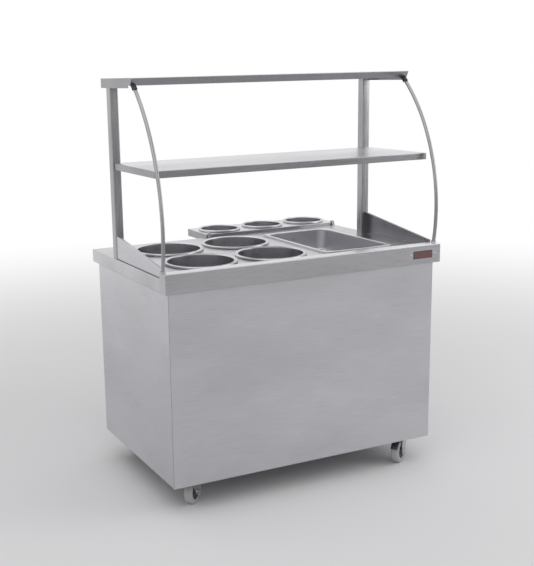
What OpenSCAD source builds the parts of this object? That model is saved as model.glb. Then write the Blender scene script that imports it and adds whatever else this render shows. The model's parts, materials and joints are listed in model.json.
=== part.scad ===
// Mobile salad bar: a stainless counter on castors, with lift-out pots in a cold tank,
// two serving shelves on posts and bows, and a condiment ledge on the operator's side.
// X is the width, -Y the customers' side, +Z up, millimetres.
// The origin is on the floor, under the middle of the whole outline.

/* [Counter] */
// Width of the counter top
counter_w = 1200; // [1160:10:1400]
// Depth of the counter top, front to back
counter_d = 776; // [760:4:860]
// Height of the deck above the floor
deck_h = 907; // [890:1:940]
// Height of the folded skirt round the counter top
skirt_h = 52; // [46:1:60]
// Height of the front lip above the deck
lip_rise = 23; // [16:1:32]
// Depth of the front lip
lip_d = 53; // [46:1:60]
// Thickness of the sheet steel
sheet = 1.5; // [1:0.1:2]
// Width of the folds at the sheets' edges
fold = 12; // [9:1:14]

/* [Cabinet] */
// How far the side panels stand in from the counter's ends
body_inset_x = 19; // [17:1:30]
// How far the front and back panels stand in from the counter's edges
body_inset_y = 21; // [18:1:26]
// Height of the panels' lower edge above the floor
body_low = 110; // [104:1:116]
// Width of the post left at each side of the door opening
jamb_w = 51; // [48:1:70]
// Height of the door opening's lower edge above the base pan
sill_rise = 15.5; // [13:0.5:24]
// Gap between the upper door track and the insulation above it
lintel_gap = 17.5; // [10:0.5:40]
// Depth of the fold round the door opening
jamb_fold = 20; // [16:1:22]
// Height of the storage shelf above the floor
store_h = 370; // [330:5:420]
// Depth of the storage shelf's and base pan's folded edges
pan_fold = 14; // [12:1:20]

/* [Chassis] */
// Leg length of the chassis angle
angle_leg = 40; // [34:1:44]
// Height of the chassis angle
angle_h = 30; // [26:1:34]
// Thickness of the chassis angle and the castor pads
angle_t = 3; // [2.5:0.5:4]
// Distance of the cross bars from the middle
crossbar_x = 200; // [150:10:300]

/* [Sliding doors] */
// Thickness of a door
door_t = 14; // [13:1:16]
// How far the two doors overlap in the middle
door_lap = 10; // [8:1:20]
// How far a door passes behind its jamb
door_tuck = 10; // [6:1:14]
// Play between a door and each wall of its groove
door_play = 0.5; // [0.4:0.1:0.8]
// Thickness of the track's walls
track_t = 2; // [1.5:0.5:2.5]
// Depth of the lower grooves
groove_low = 10; // [8:1:12]
// Depth of the upper grooves
groove_high = 18; // [15:1:19]
// Diameter of a pull cup's recess
pull_d = 56; // [50:1:64]
// Depth of a pull cup
pull_depth = 10; // [8:1:11]
// Width of a pull cup's rim
pull_rim = 4; // [3:1:6]
// Thickness of a pull cup's rim
pull_rim_t = 1; // [0.8:0.1:1.5]
// Distance of a pull cup from the door's outer edge
pull_in = 60; // [50:1:70]

/* [Round pots] */
// Outer diameter of a pot below its rim
pot_d = 262; // [250:1:264]
// Width of a pot's rim outside its wall
pot_rim = 13; // [12:1:15]
// Height of a pot's flat rim above the face that it hangs on
rim_flat = 6; // [5:0.5:7]
// Radius of the bead at a rim's edge
bead_r = 5; // [4:0.5:6]
// Depth of a pot below the deck
pot_depth = 200; // [150:5:225]
// Wall of the pots and the serving pan
pot_wall = 1.2; // [0.8:0.1:1.5]
// Radius of a pot's bottom corner
pot_corner = 20; // [14:1:28]
// Gap between the rims of neighbouring pots
pot_gap = 20; // [10:1:24]
// Distance of the pots' field from the counter's middle, to the left
pots_x = 185; // [182:1:190]
// Distance of pots and pan from the counter's middle, to the back
wells_y = 28; // [20:1:30]
// Play round a pot or pan in its hole
well_play = 3; // [2:0.5:3.5]

/* [Serving pan] */
// Width of the pan's rim
pan_w = 325; // [320:1:330]
// Length of the pan's rim, front to back
pan_l = 530; // [500:5:540]
// Width of the rim
pan_rim = 12; // [10:1:14]
// Height of the rim above the deck
pan_rise = 7; // [5:1:10]
// Depth of the pan below the deck
pan_depth = 100; // [65:5:150]
// Radius of the rim's corners
pan_corner = 20; // [12:1:30]
// Radius of the pan's corners below its rim
pan_body_corner = 48; // [30:1:60]
// Distance of the pan from the counter's middle, to the right
pan_x = 322; // [318:1:325]

/* [Cold tank] */
// Gap from the pots to the tank's walls
tank_gap = 12; // [9:1:13]
// Height inside the tank below the pots
ice_depth = 66; // [50:2:90]
// Thickness of the insulation
insulation_t = 20; // [15:1:21]
// Width of the tank's left and right flange under the deck
tank_flange = 15; // [12:1:16]

/* [Drain] */
// Distance of the drain from the tank's right wall
drain_in_x = 60; // [50:5:90]
// Distance of the drain from the tank's front wall
drain_in_y = 70; // [50:5:90]
// Outer diameter of the drain pipe
drain_d = 32; // [28:1:36]
// Wall of the drain pipe
drain_wall = 3; // [2:0.5:4]
// Width of the drain's flange on the tank's floor
drain_flange = 6; // [4:1:8]
// Gap between the insulation and the valve's body
valve_gap = 3; // [1:1:10]
// Outer diameter of the valve's body
valve_d = 50; // [46:1:54]
// Length of the valve's body
valve_l = 56; // [50:1:60]
// Length of the valve's lever
lever_l = 95; // [80:5:110]
// Width of the lever
lever_w = 16; // [12:1:18]
// Thickness of the lever
lever_t = 4; // [3:0.5:6]
// Diameter of the lever's eye
lever_eye_d = 20; // [19:1:24]
// Diameter of the valve's stem
stem_d = 10; // [8:1:12]
// Length of the boss round the stem
stem_boss_l = 12; // [8:1:16]
// Radial running fit of pins, axles and stems
fit = 0.05; // [0.02:0.01:0.08]

/* [Posts and shelves] */
// Width of a post
post_w = 34; // [30:1:40]
// Depth of a post
post_d = 40; // [36:1:44]
// Wall of a post
post_wall = 2; // [1.5:0.5:3]
// Inset of a post from the counter's end
post_inset = 5; // [3:1:8]
// Distance of the posts' front faces from the counter's middle, to the back
post_y = 108; // [100:2:120]
// How far the middle shelf's ends stand in from the counter's ends
mid_inset = 10; // [2:1:20]
// Height of the middle shelf's top above the deck
mid_rise = 379; // [330:1:420]
// Gap between the middle shelf's front edge and the bows
mid_gap = 18; // [10:1:40]
// Height of the middle shelf's edge
mid_t = 26; // [22:1:30]
// How far the top shelf's ends stand out from the counter's ends
top_over = 5; // [4:1:20]
// Height of the top shelf's top above the deck
top_rise = 700; // [650:1:740]
// How far the top shelf stands out behind the posts
top_behind = 27; // [10:1:50]
// Distance of the top shelf's front edge from the counter's middle, to the front
top_front = 150; // [146:1:160]
// Height of the top shelf's front and back folds
top_t = 27; // [24:1:30]
// How far the top shelf's front fold slopes back, down to the bows
top_lean = 15; // [8:1:18]
// How far the top shelf's end folds reach below its front fold
end_drop = 9; // [4:1:14]
// Gap between the top shelf's end folds and the bows' sockets
end_gap = 0.3; // [0.3:0.1:1.5]
// Corner radius of the middle shelf
shelf_corner = 6; // [4:1:26]
// Thickness of the shelf cleats
cleat_t = 3; // [2:0.5:4]
// Length of the shelf cleats
cleat_l = 40; // [30:1:46]

/* [End plates] */
// Thickness of an end plate
gusset_t = 2; // [1.5:0.5:3]
// Height of an end plate at the post, above the deck
gusset_high = 93; // [80:1:110]
// Height of an end plate at the lip, above the deck
gusset_low = 33; // [28:1:40]
// Inset of an end plate from the counter's end
gusset_inset = 8; // [7:1:9]
// Width of the end plate's folded edges
gusset_fold = 12; // [8:1:16]

/* [Bows] */
// Radius of a bow's arc
bow_r = 700; // [690:1:710]
// Outer diameter of the bow tube
bow_d = 14; // [14:1:17]
// Wall of the bow tube
bow_wall = 1.5; // [1:0.5:2.5]
// Inset of a bow's axis from the counter's end
bow_inset = 8; // [8:1:9]
// Distance of a bow's foot from the counter's front edge
bow_foot_in = 34; // [30:1:38]
// Distance of a bow's upper end from the top shelf's front edge
bow_tip_in = 22; // [20:1:30]
// Wall of the bows' sockets and feet
socket_wall = 3; // [2:0.5:3]
// Length of a socket below the top shelf
socket_l = 12; // [12:1:24]
// Height of a bow's foot
foot_h = 6; // [3:1:8]

/* [Condiment ledge] */
// Distance from the outer small pots' rims to the ledge's ends
ledge_margin = 18; // [14:1:24]
// Depth of the ledge behind the counter
ledge_d = 200; // [198:1:220]
// Height of the ledge's edge
ledge_t = 32; // [28:1:40]
// Height of the ledge's top above the deck
ledge_rise = 13; // [10:1:18]
// Distance of the ledge's middle from the counter's middle, to the right
ledge_x = 266; // [250:1:268]
// Outer diameter of a small pot below its rim
small_d = 168; // [160:1:170]
// Width of a small pot's rim outside its wall
small_rim = 11; // [10:1:12]
// Depth of a small pot below the ledge
small_depth = 130; // [100:5:150]
// Gap between the rims of neighbouring small pots
small_gap = 31; // [15:1:34]
// Thickness of the ledge's brackets
bracket_t = 3; // [2:0.5:4]
// Gap between a bracket's tip and the ledge's far edge
bracket_gap = 18.5; // [5:0.5:40]
// Width of the hooks that hold the ledge
hook_w = 12; // [12:1:18]
// Height of the hooks above the deck
hook_h = 20; // [19:1:24]
// Thickness of a hook
hook_t = 4; // [3:0.5:5]
// How far a hook lies over deck and ledge
hook_over = 11; // [10:1:18]
// Distance of a hook from the ledge's end
hook_in = 12; // [8:1:14]

/* [Name plate] */
// Width of the blank name plate
plate_w = 133; // [120:1:145]
// Height of the name plate
plate_h = 35; // [30:1:40]
// Thickness of the name plate
plate_t = 1.2; // [0.8:0.1:2]
// Radius of the plate's corners
plate_corner = 5; // [2:1:8]
// Distance of the plate's middle from the counter's right end
plate_in = 86; // [80:1:100]
// Distance of the plate's middle below the lip's top
plate_down = 37; // [34:1:42]
// Diameter of the plate's screw heads
plate_screw_d = 9; // [7:1:11]
// Height of the plate's screw heads
plate_screw_h = 1.5; // [1:0.1:2]
// Distance of a screw from the plate's end
plate_screw_in = 9; // [7:1:12]

/* [Castors] */
// Diameter of a wheel
wheel_d = 100; // [96:1:101]
// Width of a wheel
wheel_w = 34; // [28:1:34]
// Radius of the tyre's shoulders
tyre_r = 8; // [5:1:12]
// Depth of the tyre, from its tread to the hub's web
tyre_depth = 20; // [16:1:24]
// Thickness of the hub's web
web_t = 16; // [12:1:20]
// Trail of a castor, swivel axis to axle
castor_trail = 32; // [28:1:34]
// Distance of a swivel axis from the counter's end
castor_in_x = 107; // [90:1:110]
// Distance of a swivel axis from the counter's edge
castor_in_y = 88; // [84:1:100]
// Turn of each castor as it stands, front left, front right, rear left, rear right
castor_turns = [42, 215, -12, 168];
// Length of a castor's plate
plate_l = 100; // [96:1:110]
// Width of a castor's plate
plate_b = 80; // [76:1:90]
// Thickness of a castor's plate
castor_plate_t = 4; // [3:0.5:5]
// Distance between the plate's bolts along its length
bolt_x = 80; // [76:1:84]
// Distance between the plate's bolts across
bolt_y = 60; // [58:1:64]
// Diameter of the plate's bolts
bolt_d = 8; // [7:1:10]
// Play round a bolt in its hole
bolt_play = 0.3; // [0.2:0.1:0.6]
// Height of a bolt's head
head_h = 5; // [4:0.5:6]
// Radius of heads and nuts over their corners
hex_r = 8; // [7:0.5:9]
// Height of a nut
nut_h = 6; // [5:0.5:7]
// Diameter of the kingpin
kingpin_d = 12; // [10:1:14]
// Diameter of the kingpin's riveted head
rivet_d = 20; // [16:1:22]
// Height of the kingpin's riveted head
rivet_h = 3; // [2:0.5:4]
// Radius of the swivel race
race_r = 28; // [26:1:30]
// Height of the swivel race
race_h = 8; // [6:1:10]
// Gap between what turns and what it turns against
race_gap = 0.3; // [0.2:0.1:0.5]
// Radius of the fork's crown
crown_r = 31; // [30:1:33]
// Thickness of the fork's crown
crown_t = 7.7; // [6:0.1:9]
// Gap between the tyre and the fork's crown
crown_gap = 8; // [6:1:12]
// Diameter of the wheel's axle
axle_d = 10; // [8:1:12]
// Radius of the bosses round the axle
boss_r = 13; // [11:1:15]
// Thickness of the fork's legs
leg_t = 3; // [2.5:0.5:4]
// How far a fork leg reaches behind the swivel axis
leg_back = 20; // [16:1:22]
// How far a fork leg reaches ahead of the swivel axis below the race
leg_front = 24; // [20:1:26]
// Depth of a fork leg's rear corner below the crown
leg_drop = 4; // [2:1:8]
// Depth of a fork leg's front corner below the crown
leg_neck = 12; // [8:1:20]
// Gap between a wheel and a fork leg
wheel_gap = 3; // [2:0.5:4]
// Gap between a brake pedal and the tyre when off
brake_gap = 9; // [8:0.5:10]
// Thickness of a brake pedal
pedal_t = 2.5; // [2:0.5:3]
// Width of a brake pedal
pedal_w = 30; // [26:1:34]
// Angle round the axle at which a pedal ends, above the level
pedal_from = 22; // [16:1:30]
// Angle round the axle at which a pedal meets its pin
pedal_to = 84; // [80:1:86]
// Distance of a pedal's pin ahead of the axle
pin_ahead = 6; // [5:0.5:7]
// Height of a pedal's pin above the wheel
pin_rise = 10; // [9.5:0.5:11]
// Radius of a pedal's pin
pin_r = 3; // [2:0.5:3]
// How far a pedal's pin stands out of the fork
pin_proud = 1; // [0.5:0.5:2]
// Radius of a pedal's eye round its pin
eye_r = 4; // [3.5:0.1:4.5]
// Radius of a fork leg's ear round the pin
ear_r = 6; // [5:0.1:6]

/* [Hidden] */
$fn = 64;
e = 1;                                       // how far a cut runs past a face
STEEL = [0.72, 0.73, 0.75];
STEEL_DARK = [0.56, 0.57, 0.60];
STEEL_LIGHT = [0.82, 0.84, 0.87];
ZINC = [0.62, 0.63, 0.66];
BLACK = [0.13, 0.13, 0.15];
RUBBER = [0.30, 0.30, 0.33];
FOAM = [0.90, 0.86, 0.72];
BRASS = [0.78, 0.62, 0.32];
RED = [0.70, 0.12, 0.10];
MAROON = [0.42, 0.24, 0.24];
FL = 0;
FR = 1;
RL = 2;
RR = 3;
LEFT = -1;
RIGHT = 1;

// Counter
end_x = counter_w / 2;
back_y = counter_d / 2;
front_y = -back_y;
skirt_low = deck_h - skirt_h;
under_deck = deck_h - sheet;
lip_top = deck_h + lip_rise;
lip_back = front_y + lip_d;
plate_proud = plate_t + plate_screw_h;
frame_y = -(ledge_d - plate_proud) / 2;      // puts the whole outline's middle at y = 0

// Cabinet
body_w = counter_w - 2 * body_inset_x;
body_d = counter_d - 2 * body_inset_y;
body_front = -body_d / 2;
body_back = body_d / 2;
inner_w = body_w - 2 * sheet;
inner_front = body_front + sheet;
inner_back = body_back - sheet;

// Castors, from the floor up
axle_h = wheel_d / 2;
crown_low = wheel_d + crown_gap;
crown_high = crown_low + crown_t;
race_low = crown_high + race_gap;
castor_h = race_low + race_h + castor_plate_t;
castor_x = end_x - castor_in_x;
castor_y = back_y - castor_in_y;
castor_at = [[-castor_x, -castor_y], [castor_x, -castor_y], [-castor_x, castor_y], [castor_x, castor_y]];
leg_in = wheel_w / 2 + wheel_gap;            // inner face of a fork leg from the wheel's middle
leg_out = leg_in + leg_t;
pin_x = castor_trail + pin_ahead;
pin_z = wheel_d + pin_rise;
pedal_in_r = wheel_d / 2 + brake_gap;

// Chassis and base pan
chassis_low = castor_h;
floor_low = chassis_low + angle_h;
floor_top = floor_low + sheet;

// Pots and pan in the deck
pot_rim_d = pot_d + 2 * pot_rim;
pot_hole_d = pot_d + 2 * well_play;
pot_pitch = pot_rim_d + pot_gap;
pot_left = -pots_x - pot_pitch / 2;
pot_right = -pots_x + pot_pitch / 2;
pot_back = wells_y + pot_pitch / 2;
pot_front = wells_y - pot_pitch / 2;
pot_centres = [[pot_left, pot_back], [pot_left, pot_front], [pot_right, pot_back], [pot_right, pot_front]];
pan_body_w = pan_w - 2 * pan_rim;
pan_body_l = pan_l - 2 * pan_rim;

// Tank round the pots
tank_left = pot_left - pot_d / 2 - tank_gap;
tank_right = pan_x + pan_body_w / 2 + tank_gap;
tank_front = pot_front - pot_d / 2 - tank_gap;
tank_back = pot_back + pot_d / 2 + tank_gap;
tank_floor = deck_h - pot_depth - ice_depth; // top face of the tank's floor
tank_top = under_deck;
insulation_low = tank_floor - sheet - insulation_t;

// Drain below the tank
drain_at = [tank_right - drain_in_x, tank_front + drain_in_y];
valve_top = insulation_low - valve_gap;
valve_mid = valve_top - valve_l / 2;
valve_low = valve_top - valve_l;
pipe_low = body_low + fold;

// Door opening, tracks and doors, between base pan and insulation
opening_w = inner_w - 2 * jamb_w;
sill_h = floor_top + sill_rise;
lintel_top = insulation_low - lintel_gap;
lintel_low = lintel_top - groove_high - track_t;
opening_top = lintel_low - track_t;
groove_w = door_t + 2 * door_play;
track_d = 2 * groove_w + 3 * track_t;
track_back = body_back - jamb_fold;
track_front = track_back - track_d;
track_w = opening_w + 2 * door_tuck + 2 * track_t;
door_w = opening_w / 2 + door_tuck + door_lap / 2;
door_end = opening_w / 2 + door_tuck - door_play;
door_low = floor_top + track_t + door_play;
door_high = lintel_top - 2 * track_t;
// Back faces of the left (outer) and right (inner) door
door_backs = [track_back - track_t - door_play, track_back - 2 * track_t - groove_w - door_play];

// Posts and shelves
post_x = end_x - post_inset - post_w / 2;
mid_w = counter_w - 2 * mid_inset;
mid_h = deck_h + mid_rise;
top_w = counter_w + 2 * top_over;
top_h = deck_h + top_rise;
post_top = top_h - sheet;
top_back = post_y + post_d + top_behind;
top_low = top_h - top_t;

// End plates and bows
gusset_x = end_x - gusset_inset;
bow_x = end_x - bow_inset;
bow_foot = [front_y + bow_foot_in, lip_top];
bow_tip = [-top_front + bow_tip_in, top_low];
bow_chord = bow_tip - bow_foot;
// Centre, in y and z, of the arc of radius bow_r through foot and tip
bow_centre = (bow_foot + bow_tip) / 2 + sqrt(pow(bow_r, 2) - pow(norm(bow_chord) / 2, 2))
    * [bow_chord[1], -bow_chord[0]] / norm(bow_chord);
socket_low = top_low - socket_l;
mid_front = bow_y(mid_h) + bow_d / 2 + mid_gap;
mid_back = post_y;

// Ledge and small pots
small_rim_d = small_d + 2 * small_rim;
small_hole_d = small_d + 2 * well_play;
small_pitch = small_rim_d + small_gap;
ledge_w = 2 * small_pitch + small_rim_d + 2 * ledge_margin;
ledge_top = deck_h + ledge_rise;
ledge_low = ledge_top - ledge_t;
ledge_mid = back_y + ledge_d / 2;
bracket_reach = ledge_d - sheet - bracket_gap;

// Name plate
name_x = end_x - plate_in;
name_z = lip_top - plate_down;

// ---- shared shapes ----

// Everything is drawn round the counter's middle and moved into the frame together
module in_frame() {
    translate([0, frame_y, 0]) children();
}

// A box given by its lowest and highest corner
module span(low, high) {
    translate(low) cube(high - low);
}

// A plate with round corners, centred in plan
module round_slab(w, d, h, r) {
    translate([-w / 2 + r, -d / 2, 0]) cube([w - 2 * r, d, h]);
    translate([-w / 2, -d / 2 + r, 0]) cube([w, d - 2 * r, h]);
    for (sx = [-1, 1], sy = [-1, 1])
        translate([sx * (w / 2 - r), sy * (d / 2 - r), 0]) cylinder(h = h, r = r);
}

// A folded sheet tray, open below, centred in plan, its top face at z = 0
module tray(w, d, h, r) {
    translate([0, 0, -h]) difference() {
        round_slab(w, d, h, r);
        translate([0, 0, -e]) round_slab(w - 2 * sheet, d - 2 * sheet, h - sheet + e, r - sheet);
    }
}

// Extrudes a profile, drawn with y to the right and z up, towards -x
module across(w) {
    rotate([90, 0, -90]) mirror([1, 0, 0]) linear_extrude(w) children();
}

// Height z of a bow's axis gives its place in y
function bow_y(z) = bow_centre[0] - sqrt(pow(bow_r, 2) - pow(z - bow_centre[1], 2));

// How far a bow leans at height z, from the upright
function bow_lean(z) = asin((z - bow_centre[1]) / bow_r);

// Points along an arc
function arc(c, r, a0, a1, n) = [for (i = [0:n]) let (a = a0 + (a1 - a0) * i / n) c + r * [cos(a), sin(a)]];

// A round pot with a beaded rim: z = 0 is the face that it hangs on
module round_pot(body_d, rim_d, depth) {
    r = body_d / 2;
    bead_x = rim_d / 2 - bead_r;
    inner_corner = pot_corner - pot_wall;
    corner_c = [r - pot_corner, pot_corner - depth];
    rotate_extrude($fn = 96) {
        polygon(concat([[0, -depth]], arc(corner_c, pot_corner, -90, 0, 6),
            [[r, rim_flat + pot_wall], [r - pot_wall, rim_flat + pot_wall]],
            arc(corner_c, inner_corner, 0, -90, 6), [[0, -depth + pot_wall]]));
        translate([r - pot_wall, rim_flat]) square([bead_x - r + pot_wall, pot_wall]);
        translate([bead_x, bead_r]) circle(r = bead_r, $fn = 32);
    }
}

// ---- cabinet ----

module chassis_frame() {
    color(STEEL_DARK) in_frame() {
        difference() {
            span([-inner_w / 2, inner_front, chassis_low], [inner_w / 2, inner_back, floor_low]);
            span([-inner_w / 2 + angle_t, inner_front + angle_t, chassis_low + angle_t],
                [inner_w / 2 - angle_t, inner_back - angle_t, floor_low + e]);
            difference() {
                span([-inner_w / 2 + angle_leg, inner_front + angle_leg, chassis_low - e],
                    [inner_w / 2 - angle_leg, inner_back - angle_leg, chassis_low + 2 * angle_t]);
                for (at = castor_at) castor_pad(at);
            }
            for (at = castor_at) translate([at[0], at[1], chassis_low]) bolt_holes();
        }
        for (s = [-1, 1]) translate([s * crossbar_x, 0, 0])
            span([-angle_t / 2, inner_front + angle_t, chassis_low + angle_t],
                [angle_t / 2, inner_back - angle_t, floor_low]);
        for (s = [-1, 1]) translate([s * crossbar_x, 0, 0])
            span([-angle_leg / 2, inner_front + angle_t, chassis_low],
                [angle_leg / 2, inner_back - angle_t, chassis_low + angle_t]);
    }
}

// The pad left in each corner of the chassis for a castor's plate
module castor_pad(at) {
    pad = [plate_l, plate_b] + 2 * [angle_leg, angle_leg];
    translate([at[0] - pad[0] / 2, at[1] - pad[1] / 2, chassis_low - 2 * e])
        cube([pad[0], pad[1], angle_t + 2 * e]);
}

module bolt_holes() {
    for (sx = [-1, 1], sy = [-1, 1])
        translate([sx * bolt_x / 2, sy * bolt_y / 2, -castor_h])
            cylinder(h = 2 * castor_h, d = bolt_d + 2 * bolt_play);
}

module base_pan() {
    color(STEEL_DARK) in_frame() difference() {
        span([-inner_w / 2, inner_front, floor_low], [inner_w / 2, inner_back, floor_low + pan_fold]);
        span([-inner_w / 2 + sheet, inner_front + sheet, floor_top],
            [inner_w / 2 - sheet, inner_back + e, floor_low + pan_fold + e]);
        drain_hole(floor_low);
    }
}

// Hole for the drain pipe through a sheet at height z
module drain_hole(z) {
    translate([drain_at[0], drain_at[1], z - e])
        cylinder(h = pan_fold + 2 * e, d = drain_d + 2 * well_play);
}

module front_panel() {
    color(STEEL) in_frame() {
        span([-body_w / 2, body_front, body_low], [body_w / 2, inner_front, under_deck]);
        span([-inner_w / 2, body_front, body_low], [inner_w / 2, body_front + fold, body_low + sheet]);
    }
}

module side_panel(side) {
    color(STEEL) in_frame() mirror([side < 0 ? 1 : 0, 0, 0]) {
        span([body_w / 2 - sheet, inner_front, body_low], [body_w / 2, body_back, under_deck]);
        span([body_w / 2 - fold, body_front + fold, body_low],
            [body_w / 2, body_back - fold, body_low + sheet]);
    }
}

module back_frame() {
    half = opening_w / 2;
    color(STEEL) in_frame() {
        difference() {
            span([-inner_w / 2, inner_back, body_low], [inner_w / 2, body_back, under_deck]);
            span([-half, inner_back - e, sill_h], [half, body_back + e, opening_top]);
        }
        difference() {
            span([-half - sheet, track_back, sill_h - sheet],
                [half + sheet, inner_back, opening_top + sheet]);
            span([-half, track_back - e, sill_h], [half, body_back + e, opening_top]);
        }
        span([-inner_w / 2, body_back - fold, body_low], [inner_w / 2, inner_back, body_low + sheet]);
    }
}

module storage_shelf() {
    shelf_back = track_front - fold;
    color(STEEL) in_frame() difference() {
        span([-inner_w / 2, inner_front, store_h - pan_fold], [inner_w / 2, shelf_back, store_h]);
        span([-inner_w / 2 + sheet, inner_front + sheet, store_h - pan_fold - e],
            [inner_w / 2 - sheet, shelf_back - sheet, store_h - sheet]);
        drain_hole(store_h - pan_fold);
    }
}

module door_track(low, depth, open_up) {
    mouth = open_up ? low + track_t : low - e;
    color(STEEL_DARK) in_frame() difference() {
        span([-track_w / 2, track_front, low], [track_w / 2, track_back, low + depth + track_t]);
        for (i = [0, 1]) translate([0, track_front + track_t + i * (groove_w + track_t), 0])
            span([-track_w / 2 + track_t, 0, mouth], [track_w / 2 - track_t, groove_w, mouth + depth + e]);
    }
}

module door_track_top() {
    door_track(lintel_low, groove_high, false);
    color(STEEL_DARK) in_frame()
        span([-track_w / 2, track_back, lintel_top - track_t], [track_w / 2, inner_back, lintel_top]);
}

module door_track_bottom() {
    door_track(floor_top, groove_low, true);
}

// The left door runs in the outer groove, the right one in the inner groove
module door(side) {
    back = door_backs[side < 0 ? 0 : 1];
    color(STEEL) in_frame() mirror([side < 0 ? 1 : 0, 0, 0]) difference() {
        span([door_end - door_w, back - door_t, door_low], [door_end, back, door_high]);
        span([door_end - door_w + sheet, back - door_t - e, door_low + sheet],
            [door_end - sheet, back - sheet, door_high - sheet]);
        pull_place(back) cylinder(h = 2 * door_t, d = pull_d + 2 * pot_wall, center = true);
    }
}

// Moves a pull cup, drawn along z with its rim up, to its place in a door
module pull_place(back) {
    translate([door_end - pull_in, back, (door_low + door_high) / 2]) rotate([-90, 0, 0]) children();
}

module door_pull(side) {
    back = door_backs[side < 0 ? 0 : 1];
    color(BLACK) in_frame() mirror([side < 0 ? 1 : 0, 0, 0]) pull_place(back) difference() {
        union() {
            translate([0, 0, -pull_depth]) cylinder(h = pull_depth, d = pull_d + 2 * pot_wall);
            cylinder(h = pull_rim_t, d = pull_d + 2 * pull_rim);
        }
        translate([0, 0, -pull_depth + pot_wall]) cylinder(h = pull_depth + 2 * e, d = pull_d);
    }
}

// ---- counter ----

module counter_top() {
    color(STEEL_LIGHT) in_frame() {
        difference() {
            union() {
                span([-end_x, lip_back, skirt_low], [end_x, back_y, deck_h]);
                span([-end_x + sheet, body_front, under_deck], [end_x - sheet, lip_back + e, deck_h]);
            }
            span([-end_x + sheet, lip_back - e, skirt_low + sheet],
                [end_x - sheet, back_y - sheet, under_deck]);
            span([-end_x + fold, lip_back - e, skirt_low - e], [end_x - fold, back_y - fold, under_deck]);
            for (at = pot_centres) translate([at[0], at[1], under_deck - e])
                cylinder(h = sheet + 2 * e, d = pot_hole_d);
            translate([pan_x, wells_y, under_deck - e]) round_slab(pan_body_w + 2 * well_play,
                pan_body_l + 2 * well_play, sheet + 2 * e, pan_body_corner + well_play);
        }
    }
}

module front_channel() {
    color(STEEL_DARK) in_frame() difference() {
        span([-end_x, front_y, skirt_low], [end_x, lip_back, lip_top]);
        span([-end_x + sheet, front_y + sheet, skirt_low + sheet],
            [end_x - sheet, lip_back - sheet, lip_top - sheet]);
        span([-end_x + sheet, front_y + fold, skirt_low - e], [end_x - sheet, lip_back + e, deck_h]);
    }
}

module ice_tank() {
    color(STEEL) in_frame() difference() {
        union() {
            span([tank_left - sheet, tank_front - sheet, tank_floor - sheet],
                [tank_right + sheet, tank_back + sheet, tank_top]);
            span([tank_left - tank_flange, tank_front - sheet, tank_top - sheet],
                [tank_right + tank_flange, tank_back + sheet, tank_top]);
        }
        span([tank_left, tank_front, tank_floor], [tank_right, tank_back, tank_top + e]);
        translate([drain_at[0], drain_at[1], tank_floor - sheet - e])
            cylinder(h = sheet + 2 * e, d = drain_d);
    }
}

// The foam lines the tank and fills the space behind it, up to the back panel
module tank_insulation() {
    wall = sheet + insulation_t;
    color(FOAM) in_frame() difference() {
        span([tank_left - wall, tank_front - wall, insulation_low],
            [tank_right + wall, inner_back, tank_top - sheet]);
        span([tank_left - sheet, tank_front - sheet, tank_floor - sheet],
            [tank_right + sheet, tank_back + sheet, tank_top]);
        translate([drain_at[0], drain_at[1], insulation_low - e])
            cylinder(h = insulation_t + 2 * e, d = drain_d);
    }
}

// ---- drain ----

module drain_valve() {
    bore_d = drain_d - 2 * drain_wall;
    color(BRASS) in_frame() translate([drain_at[0], drain_at[1], 0]) difference() {
        union() {
            translate([0, 0, tank_floor]) cylinder(h = sheet, d = drain_d + 2 * drain_flange);
            translate([0, 0, valve_top]) cylinder(h = tank_floor - valve_top + sheet, d = drain_d);
            translate([0, 0, valve_low]) cylinder(h = valve_l, d = valve_d);
            translate([0, 0, valve_mid]) rotate([-90, 0, 0])
                cylinder(h = valve_d / 2 + stem_boss_l, d = stem_d + 2 * drain_wall);
        }
        translate([0, 0, valve_mid + stem_d]) cylinder(h = tank_floor, d = bore_d);
        translate([0, 0, valve_mid - valve_l]) cylinder(h = valve_l - stem_d, d = bore_d);
        translate([0, stem_d, valve_mid]) rotate([-90, 0, 0]) cylinder(h = valve_d, r = stem_d / 2 + fit);
    }
}

module valve_lever() {
    stem_l = valve_d / 2 + stem_boss_l - stem_d;
    color(RED) in_frame() translate([drain_at[0], drain_at[1], valve_mid]) {
        translate([0, stem_d + fit, 0]) rotate([-90, 0, 0])
            cylinder(h = stem_l + race_gap + lever_t, d = stem_d);
        translate([0, valve_d / 2 + stem_boss_l + race_gap, 0]) {
            rotate([-90, 0, 0]) cylinder(h = lever_t, d = lever_eye_d);
            translate([lever_w / 2 - lever_l, 0, 0]) {
                translate([0, 0, -lever_w / 2]) cube([lever_l - lever_w / 2, lever_t, lever_w]);
                rotate([-90, 0, 0]) cylinder(h = lever_t, d = lever_w);
            }
        }
    }
}

module drain_pipe() {
    color(ZINC) in_frame() translate([drain_at[0], drain_at[1], pipe_low]) difference() {
        cylinder(h = valve_low - pipe_low, d = drain_d);
        translate([0, 0, -e]) cylinder(h = valve_mid, d = drain_d - 2 * drain_wall);
    }
}

// ---- posts, end plates and shelves ----

module post(side) {
    color(STEEL) in_frame() translate([side * post_x, post_y, deck_h]) difference() {
        translate([-post_w / 2, 0, 0]) cube([post_w, post_d, post_top - deck_h]);
        translate([-post_w / 2 + post_wall, post_wall, -e])
            cube([post_w - 2 * post_wall, post_d - 2 * post_wall, post_top]);
    }
}

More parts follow.
